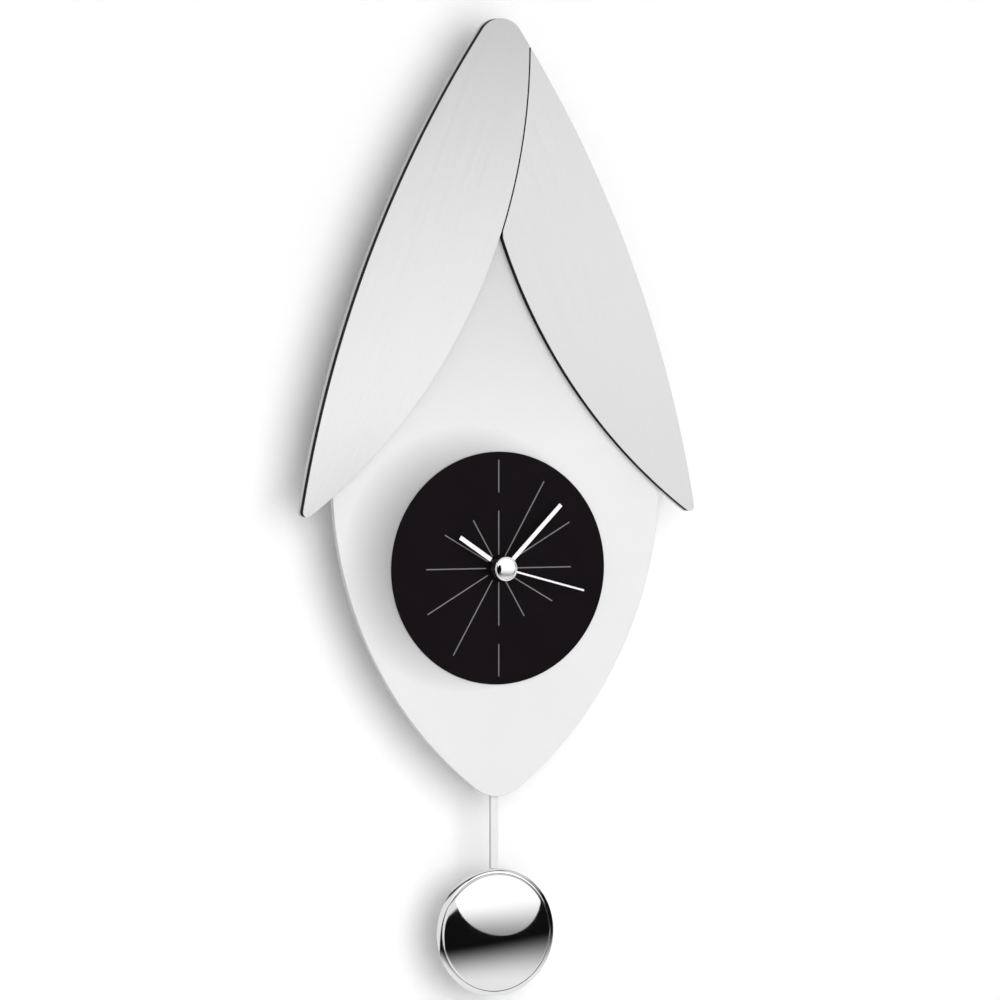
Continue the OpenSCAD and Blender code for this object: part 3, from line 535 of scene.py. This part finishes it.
def turned(profile, x, y, steps=128):
    """Solid of revolution about a line out from the wall. The profile runs from the axis round to the axis."""
    bm = bmesh.new()
    rings = []
    for r, level in profile:
        if r < 1e-6:
            rings.append([bm.verts.new(hung(x, y, level))])
        else:
            rings.append([bm.verts.new(hung(p.x, p.y, level)) for p in circle(x, y, r, steps)])
    for one, two in zip(rings, rings[1:]):
        for i in range(steps):
            j = (i + 1) % steps
            corners = [one[i % len(one)], one[j % len(one)], two[j % len(two)], two[i % len(two)]]
            corners = [c for k, c in enumerate(corners) if c not in corners[:k]]
            if len(corners) > 2:
                bm.faces.new(corners)
    bmesh.ops.recalc_face_normals(bm, faces=bm.faces)
    return finished(bm)


def rounded_corner(r, level, size, start_deg, end_deg, steps=5):
    """Profile points round a corner whose round is centred at (r, level)."""
    turns = [math.radians(start_deg + (end_deg - start_deg) * i / steps) for i in range(steps + 1)]
    return [(r + size * math.cos(t), level + size * math.sin(t)) for t in turns]


def dome(base_r, base_level, height, steps=40):
    """Profile of a spherical cap, from its base in to its top."""
    big_r = (base_r**2 + height**2) / (2 * height)
    centre = base_level + height - big_r
    turns = [math.asin(base_r / big_r) * (1 - i / steps) for i in range(steps + 1)]
    return [(big_r * math.sin(t), centre + big_r * math.cos(t)) for t in turns]


def blade(from_r, to_r, width, clock_deg):
    """Outline of a straight hand that points in a clock direction."""
    along = polar(1, math.radians(90 - clock_deg))
    across = Vector((-along.y, along.x)) * width / 2
    return [along * from_r - across, along * to_r - across, along * to_r + across, along * from_r + across]


def joined(*meshes):
    bm = bmesh.new()
    for mesh in meshes:
        bm.from_mesh(mesh)
        bpy.data.meshes.remove(mesh)
    return finished(bm)


def softened(node, width_mm, segments=2, angle_deg=30):
    """Copy of a CAD node with its sharp edges rounded."""
    bm = bmesh.new()
    bm.from_mesh(frame["nodes"][node].data)
    bmesh.ops.remove_doubles(bm, verts=bm.verts, dist=2e-6)
    bmesh.ops.dissolve_limit(bm, angle_limit=math.radians(1), verts=bm.verts, edges=bm.edges)
    sharp = [e for e in bm.edges if len(e.link_faces) == 2 and e.calc_face_angle(0) > math.radians(angle_deg)]
    bmesh.ops.bevel(
        bm, geom=sharp, offset=width_mm / 1000, offset_type="OFFSET", segments=segments,
        profile=0.5, affect="EDGES", clamp_overlap=True, loop_slide=True,
    )
    bmesh.ops.remove_doubles(bm, verts=bm.verts, dist=1e-6)
    return finished(bm)


# ---------------------------------------------------------------- panel, petals and dial

PETAL_SCREWS = [(28, 290), (66, 150)]
FOOT = (98, 75)
BRACKET_SCREWS = [(37, HANG_RISE - 9), (37, HANG_RISE + 9)]
BUSHING_HOLE, SCREW_HOLE = 4.1, 1.6
holes = [circle(0, 0, BUSHING_HOLE)]
for x, y in PETAL_SCREWS + [FOOT] + BRACKET_SCREWS:
    holes += [circle(x, y, SCREW_HOLE, 24), circle(-x, y, SCREW_HOLE, 24)]
panel = plate(panel_outline(), PANEL_BACK, PANEL_FRONT, 0.35, holes)
piece("panel", panel, "clock_frame", "opal_acrylic", OPAL, "back_panel")

left, right = petal_outline(INNER_R), right_petal_outline()
for side, outline, metal in (("left", left, PETAL_LEFT_PAINTED_LIGHTER), ("right", right, PETAL_RIGHT_PAINTED_DARKER)):
    core = plate(outline, PANEL_FRONT, CORE_FRONT, 0.05)
    piece(f"petal_core_{side}_cut", core, "clock_frame", "black_core", CORE, f"petal_core_{side}")
    skin = plate(outline, CORE_FRONT, SKIN_FRONT, 0.16, back_edge=0.03)
    piece(f"petal_skin_{side}_sheet", skin, "clock_frame", "brushed_aluminium", metal, f"petal_skin_{side}")

dial = plate(circle(0, 0, DIAL_R, 256), PANEL_FRONT, DIAL_FRONT, 0.25, [circle(0, 0, BUSHING_HOLE)], 0.05)
piece("dial", dial, "clock_frame", "dial_black", DIAL, "dial_plate")

# ---------------------------------------------------------------- hands and hub

hour = plate(blade(10.2, 35.4, 2.7, 304), HOUR_BACK, HOUR_FRONT, 0.1)
piece("hour_blade", hour, "hour_train", "hand_white", HAND_WHITE, "hour_hand")
piece("hour_root", softened("hour_collet", 0.08), "hour_train", "hand_black", HAND_BLACK, "hour_collet")
piece("minute_blade", softened("minute_hand", 0.1), "minute_train", "hand_white", HAND_WHITE, "minute_hand")
piece("second_blade", softened("second_hand", 0.1), "second_train", "hand_white", HAND_WHITE, "second_hand")

hub_profile = (
    [(0, HUB_LEVEL + 0.6), (1.2, HUB_LEVEL + 0.6), (1.2, HUB_LEVEL), (HUB_R - 0.35, HUB_LEVEL)]
    + rounded_corner(HUB_R - 0.35, HUB_LEVEL + 0.35, 0.35, -90, 0)
    + rounded_corner(HUB_R - 0.62, HUB_LEVEL + 1.1, 0.62, 0, 165, 12)
    + dome(HUB_R - 1.3, HUB_TOP - 0.95, 0.95)
)
piece("hub", turned(hub_profile, 0, 0, 96), "second_train", "chrome", CHROME, "hub_cap")

# ---------------------------------------------------------------- pendulum

piece("rod", softened("pendulum_rod", 0.35, 3), "pendulum", "rod_white", ROD, "pendulum_rod")

# The bevelled ring round the bob leans outwards, and a groove parts it from the dome.
RING_CURVE, RING_OUTER_LEAN, RING_INNER_LEAN, RING_STEPS = 5.6, math.radians(45), math.radians(14), 12
DOME_ROLL, DOME_ROLL_TURN = 2.0, math.radians(18)


def bob_ring():
    points = []
    for i in range(RING_STEPS + 1):
        lean = RING_OUTER_LEAN + (RING_INNER_LEAN - RING_OUTER_LEAN) * i / RING_STEPS
        inwards = RING_CURVE * (math.sin(RING_OUTER_LEAN) - math.sin(lean))
        outwards = RING_CURVE * (math.cos(lean) - math.cos(RING_OUTER_LEAN))
        points.append((BOB_R - 0.15 - inwards, BOB_LEVEL + 0.4 + outwards))
    return points


def bob_outline():
    """Profile of the spun bob: hollow back, flat edge, ring, groove and dome."""
    ring = bob_ring()
    dome_r, groove = ring[-1][0] - 0.12, BOB_LEVEL + 0.8
    roll_level = groove - 0.1
    roll_in = DOME_ROLL * (1 - math.sin(DOME_ROLL_TURN))
    roll_up = DOME_ROLL * math.cos(DOME_ROLL_TURN)
    hollow = [(0, BOB_LEVEL + 6.4), (20, BOB_LEVEL + 4.8), (dome_r - 1.2, BOB_LEVEL)]
    edge = [(BOB_R - 0.2, BOB_LEVEL), (BOB_R, BOB_LEVEL + 0.2)]
    gap = [(dome_r + 0.04, ring[-1][1] - 0.08), (dome_r, groove)]
    rolled = rounded_corner(dome_r - DOME_ROLL, roll_level, DOME_ROLL, 0, 72, 14)[1:]
    crown = dome(dome_r - roll_in, roll_level + roll_up, BOB_TOP - roll_level - roll_up, 64)[1:]
    return hollow + edge + ring + gap + rolled + crown


piece("bob_dome", turned(bob_outline(), 0, -BOB_DROP, 192), "pendulum", "chrome", CHROME, "bob_shell")
back_profile = (
    [(0, ROD_FRONT)]
    + rounded_corner(BOB_R - 0.6, ROD_FRONT + 0.3, 0.3, -90, 0, 4)
    + rounded_corner(BOB_R - 0.6, BOB_LEVEL - 0.3, 0.3, 0, 90, 4)
    + [(0, BOB_LEVEL)]
)
piece("bob_backing", turned(back_profile, 0, -BOB_DROP, 160), "pendulum", "bright_steel", STEEL, "bob_back")

# ---------------------------------------------------------------- kept CAD shapes, with their edges rounded

SOFT = {
    "fixing_nut": (0.15, OXIDE), "seat_washer": (0.15, RUBBER), "threaded_bushing": (0.15, BRASS),
    "movement_case": (0.3, CASE), "rear_cover": (0.3, CASE), "battery_cell": (0.5, SLEEVE),
    "set_knob": (0.2, KNOB), "swing_arm": (0.3, NYLON), "rod_clamp": (0.2, STEEL),
    "hanger_bracket": (0.3, ZINC), "wall_feet": (0.4, CASE), "foot_pads": (0.4, RUBBER),
    "pivot_pin": (0.12, STEEL), "circuit_board": (0.05, BOARD), "plus_contact": (0.05, NICKEL),
    "minus_contact": (0.05, NICKEL),
}
body_of_node = {n: body for body, members in frame["record"]["behaviour"]["bodies"].items() for n in members}
slot_of_node = {part["node"]: part["material_slot"] for part in frame["record"]["subparts"]}
for node, (width, material) in SOFT.items():
    piece(node + "_soft", softened(node, width), body_of_node[node], slot_of_node[node], material, node)

KEPT = {
    "hour_lines": LINES, "quartz_crystal": NICKEL, "timer_chip": CHIP, "motor_coil": WIRE, "motor_stator": STEEL,
    "drive_coil": WIRE, "rotor": NYLON, "idler_wheel": NYLON, "seconds_wheel": NYLON, "third_wheel": NYLON,
    "centre_wheel": BRASS, "minute_arbor": BRASS, "minute_wheel": NYLON, "hour_wheel": NYLON,
    "arm_magnet": MAGNET,
}
for node, material in KEPT.items():
    for place in frame["nodes"][node].material_slots:
        place.material = material

# ---------------------------------------------------------------- screws


def screw_tree():
    """Geometry Nodes tree that sets a cross-head screw on every point, its head towards the wall."""
    tree = bpy.data.node_groups.new("screws", "GeometryNodeTree")
    face = tree.interface
    face.new_socket("Points", in_out="INPUT", socket_type="NodeSocketGeometry")
    for name in ("Head Radius", "Head Height", "Shank Radius", "Shank Length"):
        face.new_socket(name, in_out="INPUT", socket_type="NodeSocketFloat")
    face.new_socket("Metal", in_out="INPUT", socket_type="NodeSocketMaterial")
    face.new_socket("Geometry", in_out="OUTPUT", socket_type="NodeSocketGeometry")
    nodes, links = tree.nodes, tree.links
    given, out = nodes.new("NodeGroupInput"), nodes.new("NodeGroupOutput")

    def scaled(socket, factor):
        times = nodes.new("ShaderNodeMath")
        times.operation = "MULTIPLY"
        links.new(socket, times.inputs[0])
        times.inputs[1].default_value = factor
        return times.outputs[0]

    def moved(geometry, height):
        place = nodes.new("GeometryNodeTransform")
        lift = nodes.new("ShaderNodeCombineXYZ")
        links.new(geometry, place.inputs["Geometry"])
        links.new(height, lift.inputs["Z"])
        links.new(lift.outputs[0], place.inputs["Translation"])
        return place.outputs[0]

    def rod(radius, length, top=None):
        part = nodes.new("GeometryNodeMeshCone")
        part.inputs["Vertices"].default_value = 32
        links.new(top or radius, part.inputs["Radius Top"])
        links.new(radius, part.inputs["Radius Bottom"])
        links.new(length, part.inputs["Depth"])
        return part.outputs["Mesh"]

    head_r, head_h = given.outputs["Head Radius"], given.outputs["Head Height"]
    skirt = rod(head_r, scaled(head_h, 0.6))
    crown = moved(rod(head_r, scaled(head_h, 0.4), scaled(head_r, 0.72)), scaled(head_h, 0.6))
    shank_r, shank_length = given.outputs["Shank Radius"], given.outputs["Shank Length"]
    shank = moved(rod(shank_r, shank_length), scaled(shank_length, -1))
    body = nodes.new("GeometryNodeMeshBoolean")
    body.operation = "UNION"
    for part in (skirt, crown, shank):
        links.new(part, body.inputs["Mesh 2"])
    cut = nodes.new("GeometryNodeMeshBoolean")
    cut.operation = "DIFFERENCE"
    links.new(body.outputs["Mesh"], cut.inputs["Mesh 1"])
    for turn in (0, 1):
        slot = nodes.new("GeometryNodeMeshCube")
        size = nodes.new("ShaderNodeCombineXYZ")
        links.new(scaled(head_r, 1.15 if turn else 0.3), size.inputs["X"])
        links.new(scaled(head_r, 0.3 if turn else 1.15), size.inputs["Y"])
        links.new(head_h, size.inputs["Z"])
        links.new(size.outputs[0], slot.inputs["Size"])
        links.new(moved(slot.outputs["Mesh"], head_h), cut.inputs["Mesh 2"])
    place = nodes.new("GeometryNodeInstanceOnPoints")
    place.inputs["Rotation"].default_value = (-math.pi / 2, 0.35, 0)
    links.new(given.outputs["Points"], place.inputs["Points"])
    links.new(cut.outputs["Mesh"], place.inputs["Instance"])
    real = nodes.new("GeometryNodeRealizeInstances")
    links.new(place.outputs["Instances"], real.inputs[0])
    coat = nodes.new("GeometryNodeSetMaterial")
    links.new(real.outputs[0], coat.inputs["Geometry"])
    links.new(given.outputs["Metal"], coat.inputs["Material"])
    links.new(coat.outputs[0], out.inputs["Geometry"])
    return tree


SCREWS = screw_tree()


def screw_set(node, points, level, head_r, head_h, shank_r, shank_end):
    """The screws of one CAD node, with their heads' undersides at a level."""
    mesh = bpy.data.meshes.new("points")
    mesh.from_pydata([hung(x, y, level) for x, y in points], [], [])
    holder = bpy.data.objects.new("points", mesh)
    bpy.context.scene.collection.objects.link(holder)
    modifier = holder.modifiers.new("screws", "NODES")
    modifier.node_group = SCREWS
    sizes = {
        "Head Radius": head_r / 1000, "Head Height": head_h / 1000, "Shank Radius": shank_r / 1000,
        "Shank Length": (shank_end - level) / 1000, "Metal": ZINC,
    }
    for item in SCREWS.interface.items_tree:
        if item.in_out == "INPUT" and item.name in sizes:
            modifier[item.identifier] = sizes[item.name]
    bpy.context.view_layer.update()
    made = bpy.data.meshes.new_from_object(holder.evaluated_get(bpy.context.evaluated_depsgraph_get()))
    bpy.data.objects.remove(holder)
    piece(node + "_cross_head", made, body_of_node[node], slot_of_node[node], ZINC, node)


def pairs(spots):
    return [(s * x, y) for x, y in spots for s in (-1, 1)]


COVER_SCREWS, CLAMP_SCREWS = [(26, 13), (17, -60)], [(5.5, -BOB_DROP)]
PANEL_SCREW_END = CORE_FRONT - 1.4
screw_set("cover_screws", pairs(COVER_SCREWS), CASE_BACK, 2, 1.2, 1, 17.5)
screw_set("bracket_screws", pairs(BRACKET_SCREWS), PANEL_BACK - 1.5, 2.8, 2, 1.5, PANEL_SCREW_END)
screw_set("petal_screws", pairs(PETAL_SCREWS), PANEL_BACK, 2.8, 2, 1.5, PANEL_SCREW_END)
screw_set("foot_screws", pairs([FOOT]), 5, 2.8, 2, 1.5, PANEL_SCREW_END)
screw_set("clamp_screws", pairs(CLAMP_SCREWS), ROD_BACK - 0.8, 2, 1, 1.08, 29.4)

# ---------------------------------------------------------------- wall, floor, light and camera


def flat(name, corners, material):
    mesh = bpy.data.meshes.new(name)
    mesh.from_pydata([Vector(c) for c in corners], [], [tuple(range(len(corners)))])
    mesh.materials.append(material)
    obj = bpy.data.objects.new(name, mesh)
    bpy.context.scene.collection.objects.link(obj)
    return obj


def wall_paint():
    """White wall that shows its face only, so that the clock can be seen from behind too."""
    material = bpy.data.materials.new("wall_paint")
    material.use_nodes = True
    nodes, links = material.node_tree.nodes, material.node_tree.links
    paint = nodes["Principled BSDF"]
    paint.inputs["Base Color"].default_value = (1, 1, 1, 1)
    paint.inputs["Roughness"].default_value = 1
    paint.inputs["Specular IOR Level"].default_value = 0
    clear = nodes.new("ShaderNodeBsdfTransparent")
    path, side = nodes.new("ShaderNodeLightPath"), nodes.new("ShaderNodeNewGeometry")
    front = nodes.new("ShaderNodeMath")
    front.operation = "SUBTRACT"
    front.use_clamp = True
    links.new(path.outputs["Is Camera Ray"], front.inputs[0])
    links.new(side.outputs["Backfacing"], front.inputs[1])
    # light that has bounced once meets the wall as a solid thing, so the shadow under the clock stays deep
    deep, either = nodes.new("ShaderNodeMath"), nodes.new("ShaderNodeMath")
    deep.operation, either.operation = "GREATER_THAN", "MAXIMUM"
    deep.inputs[1].default_value = 1.5
    links.new(path.outputs["Ray Depth"], deep.inputs[0])
    links.new(front.outputs[0], either.inputs[0])
    links.new(deep.outputs[0], either.inputs[1])
    mix = nodes.new("ShaderNodeMixShader")
    links.new(either.outputs[0], mix.inputs[0])
    links.new(clear.outputs[0], mix.inputs[1])
    links.new(paint.outputs[0], mix.inputs[2])
    links.new(mix.outputs[0], nodes["Material Output"].inputs["Surface"])
    return material


FLOOR_Z, WALL_Y, WALL_TOP, WALL_HALF, FLOOR_HALF = -1.6, 0.0008, 3, 6, 8
wall_corners = [(x, WALL_Y, z) for x, z in (
    (-WALL_HALF, FLOOR_Z), (WALL_HALF, FLOOR_Z), (WALL_HALF, WALL_TOP), (-WALL_HALF, WALL_TOP),
)]
floor_corners = [(x * FLOOR_HALF, y * FLOOR_HALF, FLOOR_Z) for x, y in ((-1, -1), (1, -1), (1, 1), (-1, 1))]
flat("wall", wall_corners, wall_paint())
floor_paint = Finish("floor_paint", (0.86, 0.86, 0.86), 0.9)
floor_paint.tint(floor_paint.noise(2.0), (0.85, 0.85, 0.85), (0.87, 0.87, 0.87))
# the floor is lifted towards white for the camera alone
seen = floor_paint.nodes.new("ShaderNodeLightPath").outputs["Is Camera Ray"]
floor_paint.set("Emission Color", (1, 1, 1, 1))
floor_paint.links.new(floor_paint.blend("MULTIPLY", seen, 0.5), floor_paint.shader.inputs["Emission Strength"])
floor = flat("floor", floor_corners, floor_paint.material)
floor.visible_glossy = False


def studio_sky(ambient):
    """White to the camera, an even glow on the object, and a studio of soft light and dark drapes in the metal."""
    world = bpy.data.worlds.new("studio")
    world.use_nodes = True
    bpy.context.scene.world = world
    nodes, links = world.node_tree.nodes, world.node_tree.links
    base = nodes["Background"]
    base.inputs["Color"].default_value = (1, 1, 1, 1)
    base.inputs["Strength"].default_value = ambient
    white = nodes.new("ShaderNodeBackground")
    white.inputs["Strength"].default_value = 1
    room = nodes.new("ShaderNodeBackground")
    path = nodes.new("ShaderNodeLightPath")
    first, second = nodes.new("ShaderNodeMixShader"), nodes.new("ShaderNodeMixShader")
    links.new(path.outputs["Is Glossy Ray"], first.inputs[0])
    links.new(base.outputs[0], first.inputs[1])
    links.new(room.outputs[0], first.inputs[2])
    links.new(path.outputs["Is Camera Ray"], second.inputs[0])
    links.new(first.outputs[0], second.inputs[1])
    links.new(white.outputs[0], second.inputs[2])
    links.new(second.outputs[0], nodes["World Output"].inputs["Surface"])
    # dark drapes round the horizon, a pale floor below, a white screen high on the left and behind
    split = nodes.new("ShaderNodeSeparateXYZ")
    links.new(nodes.new("ShaderNodeTexCoord").outputs["Generated"], split.inputs[0])

    right, out, up = split.outputs["X"], split.outputs["Y"], split.outputs["Z"]

    def step(value, start, end, low=0.0, high=1.0):
        span = nodes.new("ShaderNodeMapRange")
        span.interpolation_type = "SMOOTHSTEP"
        if start > end:
            start, end, low, high = end, start, high, low
        for socket, number in zip(("From Min", "From Max", "To Min", "To Max"), (start, end, low, high)):
            span.inputs[socket].default_value = number
        links.new(value, span.inputs["Value"])
        return span.outputs[0]

    def combined(operation, one, two):
        node = nodes.new("ShaderNodeMath")
        node.operation = operation
        links.new(one, node.inputs[0])
        links.new(two, node.inputs[1])
        return node.outputs[0]

    def product(*sockets):
        return reduce(lambda one, two: combined("MULTIPLY", one, two), sockets)

    def brightest(*sockets):
        return reduce(lambda one, two: combined("MAXIMUM", one, two), sockets)

    def leaning(slope):
        """Height of a direction, less a slope times its way to the right."""
        lean = nodes.new("ShaderNodeMath")
        lean.operation = "MULTIPLY_ADD"
        lean.inputs[1].default_value = -slope
        links.new(right, lean.inputs[0])
        links.new(up, lean.inputs[2])
        return lean.outputs[0]

    floor_line, screen_line = leaning(0.14), leaning(0.82)
    below = step(floor_line, -0.62, -0.232, 1.05, 0.006)
    # overhead: a high patch that fades to the right, the zenith, and the upper right corner
    high = product(step(up, 0.25, 0.4), step(up, 0.62, 0.5), step(right, -0.3, 0.3, 1.0, 0.4))
    zenith = step(up, 0.72, 0.8, 0.0, 0.95)
    corner = product(step(up, 0.42, 0.55), step(right, 0.45, 0.6, 0.0, 0.8))
    screen = product(step(screen_line, 0.205, 0.245), step(right, 0.3, 0.2), step(up, 0.66, 0.52))
    side = step(right, -0.75, -0.9)
    rear = product(step(out, 0.0, 0.3, 0.0, 0.9), step(right, 0.75, 0.3))
    links.new(brightest(below, high, zenith, corner, screen, side, rear), room.inputs["Strength"])


studio_sky(0.385)


def lamp(name, place, target, size, watts):
    data = bpy.data.lights.new(name, "AREA")
    data.shape = "DISK"
    data.size = size
    data.energy = watts
    obj = bpy.data.objects.new(name, data)
    obj.location = place
    obj.rotation_mode = "QUATERNION"
    obj.rotation_quaternion = (Vector(target) - Vector(place)).to_track_quat("-Z", "Y")
    bpy.context.scene.collection.objects.link(obj)
    return obj


CLOCK_MIDDLE = (0, 0, -0.2)
key = lamp("key_lamp", (0.08, -2.35, 0.05), CLOCK_MIDDLE, 2.4, 41)
back = lamp("back_lamp", (-0.6, 2.4, 0.9), CLOCK_MIDDLE, 1.6, 28)
for light in (key, back):
    light.visible_glossy = False


def glow_screen(name, strength, low_z, high_z):
    """Emission that is full strength above a height and dims towards its lower edge."""
    material = bpy.data.materials.new(name)
    material.use_nodes = True
    nodes, links = material.node_tree.nodes, material.node_tree.links
    nodes.remove(nodes["Principled BSDF"])
    glow = nodes.new("ShaderNodeEmission")
    split = nodes.new("ShaderNodeSeparateXYZ")
    links.new(nodes.new("ShaderNodeTexCoord").outputs["Object"], split.inputs[0])
    fade = nodes.new("ShaderNodeMapRange")
    fade.interpolation_type = "SMOOTHSTEP"
    for socket, number in zip(("From Min", "From Max", "To Min", "To Max"), (low_z, high_z, 0.23 * strength, strength)):
        fade.inputs[socket].default_value = number
    links.new(split.outputs["Z"], fade.inputs["Value"])
    links.new(fade.outputs[0], glow.inputs["Strength"])
    links.new(glow.outputs[0], nodes["Material Output"].inputs["Surface"])
    return material


def oval(centre, across, half_w, half_h, steps):
    turns = [2 * math.pi * i / steps for i in range(steps)]
    return [centre + across * half_w * math.cos(t) + Vector((0, 0, half_h * math.sin(t))) for t in turns]


# oval softbox that the metal mirrors: it stands where the camera's line would bounce off the dial
SCREEN_TURN, SCREEN_DISTANCE, SCREEN_HEIGHT = math.radians(25.3), 0.8, -0.12
screen_centre = Vector(
    (math.sin(SCREEN_TURN) * SCREEN_DISTANCE, -math.cos(SCREEN_TURN) * SCREEN_DISTANCE, SCREEN_HEIGHT)
)
screen_across = Vector((math.cos(SCREEN_TURN), math.sin(SCREEN_TURN), 0))
screen_shape = oval(screen_centre, screen_across, 0.49, 0.42, 72)
softbox = flat("softbox", screen_shape, glow_screen("softbox_glow", 1.18, -0.575, -0.205))

# small black flag that draws the dark crescent in the hub
FLAG_TURN, FLAG_DISTANCE, FLAG_DROP = math.radians(-1.8), 0.2, 0.008
flag_way = Vector((math.sin(FLAG_TURN) * FLAG_DISTANCE, -math.cos(FLAG_TURN) * FLAG_DISTANCE, -FLAG_DROP))
flag_shape = oval(hung(0, 0, HUB_TOP) + flag_way, Vector((1, 0, 0)), 0.021, 0.05, 32)
flag = flat("flag", flag_shape, glow_screen("flag_black", 0.0, -1, 1))
for card in (softbox, flag):
    for hidden_from in ("camera", "diffuse", "shadow", "transmission", "volume_scatter"):
        setattr(card, "visible_" + hidden_from, False)

CAMERA_TURN, CAMERA_TILT = math.radians(-24.3), math.radians(2.06)
CAMERA_DISTANCE, CAMERA_RISE, CAMERA_SHIFT = 4.0, 0.186, 0.0012
SENSOR_WIDTH, LENS, CAMERA_REACH = 36, 233.28, 60
aim = hung(0, 0, PANEL_FRONT)
level_back = Vector((math.sin(CAMERA_TURN), -math.cos(CAMERA_TURN), 0))
across = Vector((math.cos(CAMERA_TURN), math.sin(CAMERA_TURN), 0))
sight = -level_back * math.cos(CAMERA_TILT) - Vector((0, 0, math.sin(CAMERA_TILT)))
camera_data = bpy.data.cameras.new("camera")
camera_data.sensor_width = SENSOR_WIDTH
camera_data.lens = LENS
camera_data.clip_end = CAMERA_REACH
camera = bpy.data.objects.new("camera", camera_data)
bpy.context.scene.collection.objects.link(camera)
bpy.context.scene.camera = camera
camera.location = aim + level_back * CAMERA_DISTANCE + across * CAMERA_SHIFT + Vector((0, 0, CAMERA_RISE))
camera.rotation_mode = "QUATERNION"
camera.rotation_quaternion = sight.to_track_quat("-Z", "Y")

bpy.context.scene.view_settings.view_transform = "Standard"
